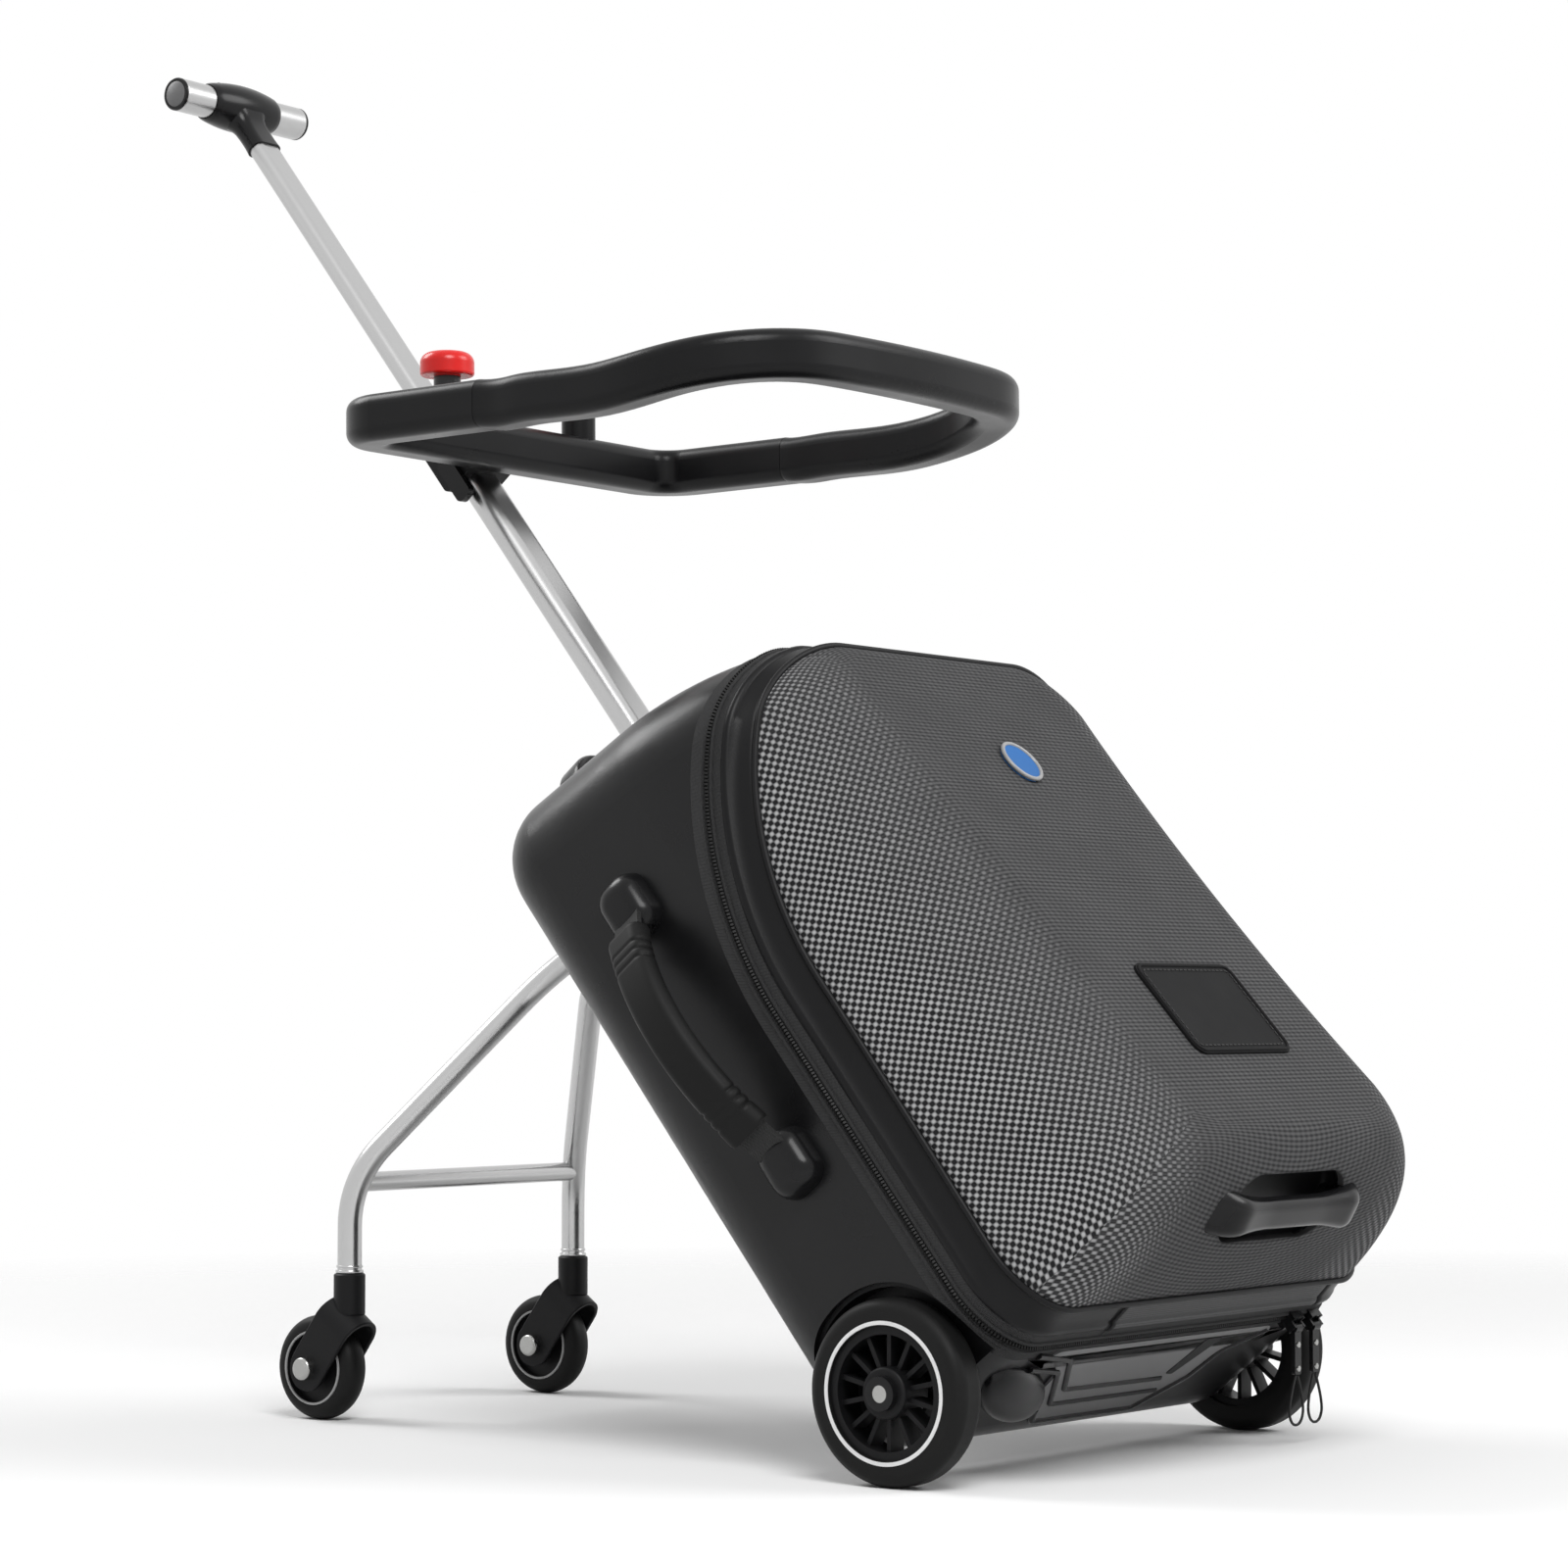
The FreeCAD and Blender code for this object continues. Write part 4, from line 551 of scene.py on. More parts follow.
def rounded(points, steps=8):
    """Rounds the corners of a closed outline of (x, y, radius)."""
    out = []
    count = len(points)
    for index, (x, y, radius) in enumerate(points):
        here = Vector((x, y))
        before = Vector(points[index - 1][:2])
        after = Vector(points[(index + 1) % count][:2])
        back, on = (before - here).normalized(), (after - here).normalized()
        half = math.acos(max(-1.0, min(1.0, back.dot(on)))) / 2
        reach = radius / math.tan(half)
        centre = here + (back + on).normalized() * (radius / math.sin(half))
        start, end = here + back * reach - centre, here + on * reach - centre
        sweep = math.atan2(start.x * end.y - start.y * end.x, start.dot(end))
        for step in range(steps + 1):
            out.append(tuple(centre + Matrix.Rotation(sweep * step / steps, 2) @ start))
    return out


def round_box(side, low, high, bend, steps):
    """A rectangle with round corners between a low and a high edge."""
    corners = ((-side, low), (side, low), (side, high), (-side, high))
    return rounded([(x, y, bend) for x, y in corners], steps)


def oblong(side, high, bend, steps):
    """A rectangle about the middle with round corners."""
    return round_box(side, -high, high, bend, steps)


def bent(points, steps=14):
    """A run of straights and tangent bends as points; each point is (vector, bend)."""
    out = []
    for index, (place, bend) in enumerate(points):
        place = Vector(place)
        if bend == 0:
            out.append(place)
            continue
        back = (Vector(points[index - 1][0]) - place).normalized()
        on = (Vector(points[index + 1][0]) - place).normalized()
        half = back.angle(on) / 2
        centre = place + (back + on).normalized() * (bend / math.sin(half))
        start = place + back * (bend / math.tan(half)) - centre
        end = place + on * (bend / math.tan(half)) - centre
        axis = start.cross(end).normalized()
        sweep = start.angle(end)
        for step in range(steps + 1):
            out.append(centre + Matrix.Rotation(sweep * step / steps, 3, axis) @ start)
    return out


def handle_run(side, foot, top, bend):
    """A handle's run from one foot over its bar to the other."""
    return bent([((-side, *foot), 0), ((-side, *top), bend), ((side, *top), bend), ((side, *foot), 0)])


def along_path(path, section, closed=False, up=None, scale=None):
    """Draws a closed section of (side, up) along a path."""
    path = [Vector(p) for p in path]
    count = len(path)
    tangents = []
    for index in range(count):
        after = path[(index + 1) % count] if closed or index < count - 1 else path[index]
        before = path[index - 1] if closed or index > 0 else path[index]
        tangents.append((after - before).normalized())
    rise = Vector(up) if up else tangents[0].orthogonal()
    rows = []
    for index, (place, tangent) in enumerate(zip(path, tangents)):
        if up:
            rise = Vector(up)
        side = tangent.cross(rise).normalized()
        rise = side.cross(tangent).normalized()
        size = scale[index] if scale else 1.0
        rows.append([place + side * (a * size) + rise * (b * size) for a, b in section])
    return strip(rows, closed_rows=True) if closed else lofted(rows)


def add_roll(name, line, roll, sides, finish_name, body):
    """A round roll along a closed line."""
    add_piece(name, along_path(line, disc(roll, sides), closed=True), finish_name, body)


def evaluated(piece):
    """A piece's mesh with its modifiers worked in, as a plain mesh."""
    bpy.context.view_layer.update()
    graph = bpy.context.evaluated_depsgraph_get()
    mesh = bpy.data.meshes.new_from_object(piece.evaluated_get(graph))
    name, old = piece.name, piece.data
    piece.modifiers.clear()
    if piece.type == "MESH":
        piece.data = mesh
        return piece
    bpy.data.objects.remove(piece)
    bpy.data.curves.remove(old)
    return bpy.data.objects.new(name, mesh)


def curve_through(name, kind, route):
    """A curve and its spline through points."""
    line = bpy.data.curves.new(name, "CURVE")
    line.dimensions = "3D"
    spline = line.splines.new(kind)
    spline.points.add(len(route) - 1)
    for point, place in zip(spline.points, route):
        point.co = (*place, 1)
    return line, spline


ROW_VALUES = ("Pitch", "Along", "Across", "High")
ROW_NODES = {
    "source": "NodeGroupInput", "target": "NodeGroupOutput", "spread": "GeometryNodeCurveToPoints",
    "block": "GeometryNodeMeshCube", "size": "ShaderNodeCombineXYZ", "place": "GeometryNodeInstanceOnPoints",
    "real": "GeometryNodeRealizeInstances", "paint": "GeometryNodeSetMaterial",
}
ROW_LINKS = (
    ("source", "Geometry", "spread", "Curve"), ("source", "Pitch", "spread", "Length"),
    ("source", "Across", "size", "X"), ("source", "High", "size", "Y"), ("source", "Along", "size", "Z"),
    ("size", "Vector", "block", "Size"), ("spread", "Points", "place", "Points"),
    ("block", "Mesh", "place", "Instance"), ("spread", "Rotation", "place", "Rotation"),
    ("place", "Instances", "real", "Geometry"), ("real", "Geometry", "paint", "Geometry"),
    ("source", "Material", "paint", "Material"), ("paint", "Geometry", "target", "Geometry"),
)


def row_tree():
    """Rows of small blocks along a line, with the pitch and the block's sizes as inputs."""
    tree = bpy.data.node_groups.get("block_row")
    if tree:
        return tree
    tree = bpy.data.node_groups.new("block_row", "GeometryNodeTree")
    face = tree.interface
    face.new_socket("Geometry", in_out="INPUT", socket_type="NodeSocketGeometry")
    for label in ROW_VALUES:
        face.new_socket(label, in_out="INPUT", socket_type="NodeSocketFloat")
    face.new_socket("Material", in_out="INPUT", socket_type="NodeSocketMaterial")
    face.new_socket("Geometry", in_out="OUTPUT", socket_type="NodeSocketGeometry")
    nodes = {name: tree.nodes.new(kind) for name, kind in ROW_NODES.items()}
    nodes["spread"].mode = "LENGTH"
    for begin, out, end, into in ROW_LINKS:
        tree.links.new(nodes[begin].outputs[out], nodes[end].inputs[into])
    return tree


def block_row(name, path, pitch, block, finish_name, body):
    """A closed row of blocks (along, across, high) on a line, as one plain mesh."""
    line, spline = curve_through(name, "POLY", path)
    spline.use_cyclic_u = True
    carrier = bpy.data.objects.new(name + "_line", line)
    bpy.context.scene.collection.objects.link(carrier)
    work = carrier.modifiers.new("row", "NODES")
    work.node_group = row_tree()
    values = dict(zip(ROW_VALUES, (pitch, *block)), Material=finish(finish_name))
    for item in work.node_group.interface.items_tree:
        if item.in_out == "INPUT" and item.name in values:
            work[item.identifier] = values[item.name]
    piece = evaluated(carrier)
    piece.name = name
    return settle(piece, finish_name, body)


# The lid's form, as sections turning round its shoulder


class Section:
    """One closed section of the lid at an angle round its shoulder."""

    # Points on the underside, then by turns on each corner and each side round the section
    COUNTS = (44, 14, 56, 16, 36, 16, 56, 14)

    def __init__(self, turn):
        s = sizes()
        ahead, shrink = math.sin(turn), 1 - math.cos(turn)
        self.depth = s.split + (s.front_depth - s.split) * ahead
        self.half = s.half - (s.half - s.front_half) * shrink
        self.low = s.low + s.front_rise * shrink - s.belly * math.sin(2 * turn) ** 2
        self.high = s.high - s.slope * (self.depth + s.back) - s.front_fall * shrink
        self.bend = s.corner - (s.corner - s.front_corner) * shrink
        self.foot = s.corner_low - (s.corner_low - s.front_corner) * shrink
        self.waist = s.waist * ahead
        self.tilt = math.tan(s.front_tilt) * ahead
        self.mid = s.front_mid

    def place(self, x, z):
        return Vector((x, -(self.depth + (self.mid - z) * self.tilt), z))

    def outline(self):
        """Places counter-clockwise from the lower left."""
        half, low, high, bend, foot = self.half, self.low, self.high, self.bend, self.foot
        start, end = low + foot, high - bend
        out = []

        def corner(x, z, radius, begin, steps):
            for step in range(steps):
                angle = math.radians(begin + 90 * step / steps)
                out.append((x + radius * math.cos(angle), z + radius * math.sin(angle)))

        def side(sign, steps):
            for step in range(steps):
                share = step / steps
                z = start + (end - start) * (share if sign > 0 else 1 - share)
                draw = self.waist * (1 - (2 * share - 1) ** 2)
                out.append((sign * (half - draw), z))

        def level(reach, z, steps):
            out.extend((2 * reach * step / steps - reach, z) for step in range(steps))

        c = self.COUNTS
        level(half - foot, low, c[0])
        corner(half - foot, start, foot, -90, c[1])
        side(1, c[2])
        corner(half - bend, end, bend, 0, c[3])
        level(bend - half, high, c[4])
        corner(-half + bend, end, bend, 90, c[5])
        side(-1, c[6])
        corner(-half + foot, start, foot, 180, c[7])
        return [self.place(x, z) for x, z in out]


def zip_depth(z):
    """How far before the axle the zip line lies at a height."""
    s = sizes()
    if z <= s.split_turn:
        return s.split
    steepest = s.split_radius * 0.95
    rise = min(z - s.split_turn, steepest)
    return s.split + s.split_radius - math.sqrt(s.split_radius ** 2 - rise ** 2)


class LidForm:
    """Points of the lid by column round its outline and by distance from the zip line."""

    STEPS = 240
    HALVINGS = 40
    FRONT_SHARE = 0.8

    def __init__(self):
        self.table = [Section(QUARTER_TURN * step / self.STEPS).outline() for step in range(self.STEPS + 1)]
        self.columns = len(self.table[0])

    def at(self, column, step):
        """A point between two sections of the table."""
        step = max(0.0, min(float(self.STEPS), step))
        low = min(int(step), self.STEPS - 1)
        return self.table[low][column].lerp(self.table[low + 1][column], step - low)

    def crossing(self, column, shift):
        """Where a column meets the zip line moved forward by a shift."""
        low, high = 0.0, float(self.STEPS)
        for _ in range(self.HALVINGS):
            middle = (low + high) / 2
            place = self.at(column, middle)
            if -place.y < zip_depth(place.z) + shift:
                low = middle
            else:
                high = middle
        return (low + high) / 2

    def outward(self, column, step):
        """Outward direction of the surface."""
        here = self.at(column, step)
        on = self.at(column, step + 2) - self.at(column, step - 2)
        around = self.at((column + 1) % self.columns, step) - self.at(column - 1, step)
        way = around.cross(on).normalized()
        middle = Vector((0, here.y, CASE_MIDDLE[2]))
        on_front = step > self.STEPS * self.FRONT_SHARE and way.y < 0
        return way if way.dot(here - middle) > 0 or on_front else -way

    def lifted(self, column, shift, lift):
        """The point of a column at a shift from the zip, lifted off the surface."""
        step = self.crossing(column, shift)
        return self.at(column, step) + self.outward(column, step) * lift

    def loop(self, shift, lift=0.0):
        """The closed line at a shift from the zip, lifted off the surface."""
        return [self.lifted(column, shift, lift) for column in range(self.columns)]


class FlatPattern:
    """The lid skin laid flat: each of its four sides folded down from the front, corners shared."""

    def __init__(self, form, rows, runs):
        c = Section.COUNTS
        marks = [sum(c[:k]) for k in range(len(c) + 1)]
        halves = [c[1] // 2, c[3] // 2, c[5] // 2, c[7] // 2]
        self.rows, self.runs, self.count = rows, runs, form.columns
        self.edge = rows[-1]
        self.sides = (
            (marks[0], marks[1], -halves[3], halves[0], "x", 1),
            (marks[2], marks[3], halves[0] - c[1], halves[1], "z", 1),
            (marks[4], marks[5], halves[1] - c[3], halves[2], "x", -1),
            (marks[6], marks[7], halves[2] - c[5], halves[3], "z", -1),
        )

    def side_of(self, column):
        """The side a face belongs to, with its column counted along that side."""
        for index, (first, last, before, after, _, _) in enumerate(self.sides):
            for shift in (0, -self.count):
                if first + before <= column + shift < last + after:
                    return index, column + shift
        raise ValueError("no side for column %d" % column)

    def reach(self, row, start, end):
        line = self.rows[row]
        return sum((line[(k + 1) % self.count] - line[k % self.count]).length for k in range(start, end))

    def spot(self, side, row, column):
        """Where a point of the skin lies on the flat pattern."""
        first, last, _, _, axis, way = self.sides[side]
        front = self.edge[column % self.count]
        anchor = min(max(column, first), last)
        along = getattr(self.rows[row][anchor % self.count], axis)
        if not first <= column <= last:
            along += getattr(front, axis) - getattr(self.edge[anchor % self.count], axis)
        end = len(self.rows) - 1
        if column > last:
            along += way * (self.reach(row, last, column) - self.reach(end, last, column))
        if column < first:
            along -= way * (self.reach(row, column, first) - self.reach(end, column, first))
        run = self.runs[column % self.count][row]
        if axis == "x":
            return along, front.z - way * run
        return front.x + way * run, along


class SUITCASE_OT_lid(bpy.types.Operator):
    """Woven lid with its hard band, the strip under it, the piping and the finger room"""

    bl_idname = "suitcase.lid"
    bl_label = "Lid"

    STEPS = 34
    RINGS = 14
    SKIN_WALL = 0.004
    BAND_WALL = 0.0035
    PIPING, PIPING_LIFT = 0.0019, 0.0006
    STRIP_ROLL = 0.0014
    # Share of the band's width, and how far the band stands off the lid there
    BAND = ((0.012, -0.0012), (0.03, 0.0), (0.2, 0.0), (0.28, 0.0), (0.33, 0.0014), (0.4, 0.0019),
            (0.47, 0.0014), (0.52, 0.0), (0.7, -0.0004), (0.86, -0.0008), (1.0, -0.0006))
    # Wider than the finger room, and out from the floor of the dish
    DISH = ((0.0, 0.004), (-0.0012, 0.0012), (-0.004, 0.0))
    DISH_RIM, DISH_WALL, DISH_FLOOR = -0.003, 0.0024, 0.0022

    def execute(self, context):
        s = sizes()
        form = LidForm()
        stand = upright()
        self.skin(form, stand)
        self.finger_room()

        edge = form.loop(s.band, self.PIPING_LIFT)
        add_roll("lid_piping", [stand @ p for p in edge], self.PIPING, 10, "plastic", "lid")

        rows = [form.loop(s.band * share, lift) for share, lift in self.BAND]
        plain = [k for k in range(Section.COUNTS[0]) if s.strip_start < rows[-1][k].x < s.strip_end]
        first, last = plain[0], plain[-1]
        self.wall("lid_strip", [row[first:last + 1] for row in rows], "cloth", "weave")
        end = along_path([stand @ row[first] for row in rows], disc(self.STRIP_ROLL, 8))
        add_piece("strip_end", end, "tape", "lid")
        around = [row[last:] + row[:first + 1] for row in rows]
        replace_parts(self.wall("lid_band", around, "band", "rim"), "lid_rim")
        return {"FINISHED"}

    def wall(self, name, rows, finish_name, slot):
        """A strip of the lid's wall with its thickness and a flat pattern."""
        stand = upright()
        piece = add_piece(name, moved(strip(rows, False), stand), finish_name, "lid")
        faced(piece.data, middle=stand @ Vector(CASE_MIDDLE))
        layer = piece.data.uv_layers.new(name="flat")
        back = stand.inverted()
        for loop in piece.data.loops:
            place = back @ piece.data.vertices[loop.vertex_index].co
            layer.data[loop.index].uv = (place.x, place.y)
        self.thicken(piece, self.BAND_WALL)
        return evaluated(piece)

    def thicken(self, piece, wall):
        """Gives a skin its thickness on the inside."""
        thick = piece.modifiers.new("wall", "SOLIDIFY")
        thick.thickness = wall
        thick.offset = -1

    def skin(self, form, stand):
        """The woven skin from the band to the middle of the front, with its flat pattern."""
        s = sizes()
        meridians, runs = [], []
        for column in range(form.columns):
            begin = form.crossing(column, s.band)
            reach = form.STEPS - begin
            line = [form.at(column, begin + reach * k / self.STEPS) for k in range(self.STEPS + 1)]
            run = [0.0]
            for k in range(self.STEPS, 0, -1):
                run.append(run[-1] + (line[k] - line[k - 1]).length)
            meridians.append(line)
            runs.append(run[::-1])
        rows = [[line[k] for line in meridians] for k in range(self.STEPS + 1)]
        pattern = FlatPattern(form, rows, runs)
        count, edge = form.columns, rows[-1]
        middle = sum(edge, Vector()) / count
        shares = [1 - ring / self.RINGS for ring in range(1, self.RINGS)]
        cap = [[middle + (p - middle) * share for p in edge] for share in shares]
        verts, faces = strip(rows + cap)
        last = len(verts) - count
        verts.append(middle)
        faces.extend((last + k, last + (k + 1) % count, len(verts) - 1) for k in range(count))
        mesh = plain_mesh("lid_skin", moved((verts, faces), stand))
        layer = mesh.uv_layers.new(name="flat")
        for face in mesh.polygons:
            on_side = min(face.vertices) // count < self.STEPS
            column = face.index % count
            for loop in face.loop_indices:
                vertex = mesh.loops[loop].vertex_index
                at_row, at_column = divmod(vertex, count)
                if on_side:
                    side, along = pattern.side_of(column)
                    step = 0 if at_column == column else 1
                    layer.data[loop].uv = pattern.spot(side, at_row, along + step)
                else:
                    layer.data[loop].uv = (verts[vertex].x, verts[vertex].z)
        mesh.shade_smooth()
        faced(mesh, middle=stand @ Vector(CASE_MIDDLE))
        skin = bpy.data.objects.new("lid_skin", mesh)
        bpy.context.scene.collection.objects.link(skin)
        self.thicken(skin, self.SKIN_WALL)
        cutter = self.cutter()
        opened = skin.modifiers.new("finger_room", "BOOLEAN")
        opened.operation = "DIFFERENCE"
        opened.solver = "EXACT"
        opened.object = cutter
        skin = evaluated(skin)
        old = cutter.data
        bpy.data.objects.remove(cutter)
        bpy.data.meshes.remove(old)
        settle(skin, "skin", "lid", ("lid_shell",))

    def oval(self, grown, out):
        """A flat oval round the front handle, grown and moved out of the lid."""
        s = sizes()
        side, face = s.recess_half + grown, s.recess_high / 2 + grown
        place = front_grip()
        return [place @ Vector((x, out, z)) for x, z in oblong(side, face, face * 0.998, 16)]

    def cutter(self):
        """The block that opens the skin over the finger room."""
        deep = sizes().recess_deep
        mesh = plain_mesh("finger_room", lofted([self.oval(0.0, -deep), self.oval(0.0, deep)]))
        faced(mesh)
        made = bpy.data.objects.new("finger_room", mesh)
        bpy.context.scene.collection.objects.link(made)
        return made

    def finger_room(self):
        """The moulded dish behind the front handle."""
        deep, rim, wall = sizes().recess_deep, self.DISH_RIM, self.DISH_WALL
        rows = [self.oval(wall, -deep - self.DISH_FLOOR), self.oval(wall, rim), self.oval(0.0, rim)]
        rows += [self.oval(grown, out - deep) for grown, out in self.DISH]
        add_piece("finger_dish", lofted(rows), "plastic", "lid", sharp=60)


class SUITCASE_OT_trim(bpy.types.Operator):
    """Label border and stitches, badge rim, grip, front handle, wheel rings and bar ends"""

    bl_idname = "suitcase.trim"
    bl_label = "Trim"

    # In from the label's edge, off the lid, and the rounding of the corners
    BORDER = (0.0018, 0.0016, 0.0066)
    STITCH_LINE = (0.0052, 0.0017, 0.004)
    BORDER_ROLL = 0.0011
    STITCH_PITCH, STITCH = 0.0044, (0.003, 0.0009, 0.0007)
    BADGE_LIFT, BADGE_ROLL = 0.0022, 0.0013
    # Past the wheel's face, and the radius there
    STRIPE = ((-0.0006, 0.0358), (0.0003, 0.0361), (0.0003, 0.0381), (-0.0006, 0.0384))
    CASTER_RING = ((-0.0005, 0.0212), (0.0003, 0.0214), (0.0003, 0.0226), (-0.0005, 0.0228))
    # Past the end of the bar, and the radius there against the bar's (None on its axis)
    BAR_RIM = ((-0.0014, -0.0012), (-0.0014, 0.0), (-0.0006, 0.0), (0.0004, -0.0006), (0.0004, -0.0022),
               (-0.001, -0.003))
    BAR_PLUG = ((-0.002, None), (-0.002, -0.0024), (0.0002, -0.0024), (0.001, -0.004), (0.0014, None))
    # Half thickness, half width and corner rounding
    BRIDGE_SECTION = (0.0068, 0.0098, 0.0062)
    BRIDGE_FOOT, BRIDGE_BEND, BRIDGE_STEP = -0.02, 0.014, 0.004
    BRIDGE_SLIM, BRIDGE_FLARE, BRIDGE_PLAIN, BRIDGE_CURVE = 0.92, 0.5, 0.4, 1.6
    GRIP_SECTION = (0.0075, 0.0135, 0.0068)
    GRIP_STEPS, GRIP_SLIM, GRIP_FLARE = 180, 0.94, 0.08
    GRIP_END, GRIP_LIP = 0.985, 0.96
    GROOVES, GROOVE_DEEP, GROOVE_WIDE = (0.66, 0.74, 0.82), 0.075, 0.013

    def execute(self, context):
        s = sizes()
        border = self.label_line(*self.BORDER)
        add_roll("label_border", border, self.BORDER_ROLL, 10, "label", "lid")
        block_row("label_stitches", self.label_line(*self.STITCH_LINE), self.STITCH_PITCH, self.STITCH,
                  "strap", "lid")
        front, height = lid_front(), s.badge_height - s.front_mid
        ring = [front @ Vector((x, -self.BADGE_LIFT, height + z)) for x, z in disc(s.badge_radius, 72)]
        add_roll("badge_rim", ring, self.BADGE_ROLL, 10, "grey", "lid")
        self.grip()
        self.bridge()
        for word, sign in SIDES:
            stripe = [(s.wheel_out + out, radius) for out, radius in self.STRIPE]
            turned("wheel_stripe_" + word, stripe, 120, mirrored((0, 0, s.axle), sign), "stripe",
                   "wheel_" + word)
            ring = [(s.caster_width / 2 + out, radius) for out, radius in self.CASTER_RING]
            for way in (1, -1):
                name = "caster_ring_%s_%s" % (word, "outer" if way * sign > 0 else "inner")
                turned(name, ring, 120, mirrored(caster_centre(sign), way), "grey",
                       "caster_%s_wheel" % word)
            self.bar_end(word, sign)
        return {"FINISHED"}

    def label_line(self, inset, out, bend):
        """A line inside the edge of the label."""
        s = sizes()
        front, side = lid_front(), s.label_half - inset
        low, high = s.label_low - s.front_mid + inset, s.label_high - s.front_mid - inset
        return [front @ Vector((x, -out, z)) for x, z in round_box(side, low, high, bend, 8)]

    def bar_end(self, word, sign):
        """Dark rim and grey plug at an end of the cross bar."""
        s = sizes()
        where = cross_bar() @ mirrored((0, 0, 0), sign)
        for name, outline, look in (("bar_rim_", self.BAR_RIM, "gloss"), ("bar_plug_", self.BAR_PLUG, "pan")):
            profile = [(s.tee_half + out, 0.0 if off is None else s.tee_radius + off) for out, off in outline]
            turned(name + word, profile, 72, where, look, "handle")

    def bridge(self):
        """Front handle: thick feet drawn down to a slimmer bar."""
        s = sizes()
        place = front_grip()
        side = s.handle_half
        path = handle_run(side, (self.BRIDGE_FOOT, 0), (s.handle_reach, 0), self.BRIDGE_BEND)
        dense = []
        for start, end in zip(path, path[1:]):
            pieces = max(1, int((end - start).length / self.BRIDGE_STEP))
            dense.extend(start.lerp(end, k / pieces) for k in range(pieces))
        dense.append(path[-1])
        scale = []
        for point in dense:
            off = min(1.0, abs(point.x) / side)
            flare = max(0.0, (off - self.BRIDGE_PLAIN) / (1 - self.BRIDGE_PLAIN)) ** self.BRIDGE_CURVE
            scale.append(self.BRIDGE_SLIM + self.BRIDGE_FLARE * flare)
        bar = along_path([place @ p for p in dense], oblong(*self.BRIDGE_SECTION, 8),
                         up=pointing(place, (0, 0, 1)), scale=scale)
        add_piece("front_bridge", bar, "gloss", "lid", ("front_handle",))

    def grip(self):
        """Soft grip on the side strap, flared at its ends, with pinched grooves."""
        s = sizes()
        stand = upright()
        curve = (s.side_upper - s.side_lower) / 2 / math.sin(s.side_turn)
        centre = Vector((curve - s.half - s.side_bow, -s.side_forward, (s.side_upper + s.side_lower) / 2))
        path, scale = [], []
        for step in range(self.GRIP_STEPS + 1):
            share = 2 * step / self.GRIP_STEPS - 1
            angle, off = s.grip_turn * share, abs(share)
            path.append(stand @ (centre + Vector((-curve * math.cos(angle), 0, curve * math.sin(angle)))))
            size = self.GRIP_SLIM + self.GRIP_FLARE * off ** 4
            for groove in self.GROOVES:
                size -= self.GROOVE_DEEP * math.exp(-((off - groove) / self.GROOVE_WIDE) ** 2)
            scale.append(size * self.GRIP_LIP if off > self.GRIP_END else size)
        sleeve = along_path(path, oblong(*self.GRIP_SECTION, 7), up=pointing(stand, (0, 1, 0)), scale=scale)
        add_piece("side_grip", sleeve, "grip", "case", ("side_handle_grip",))


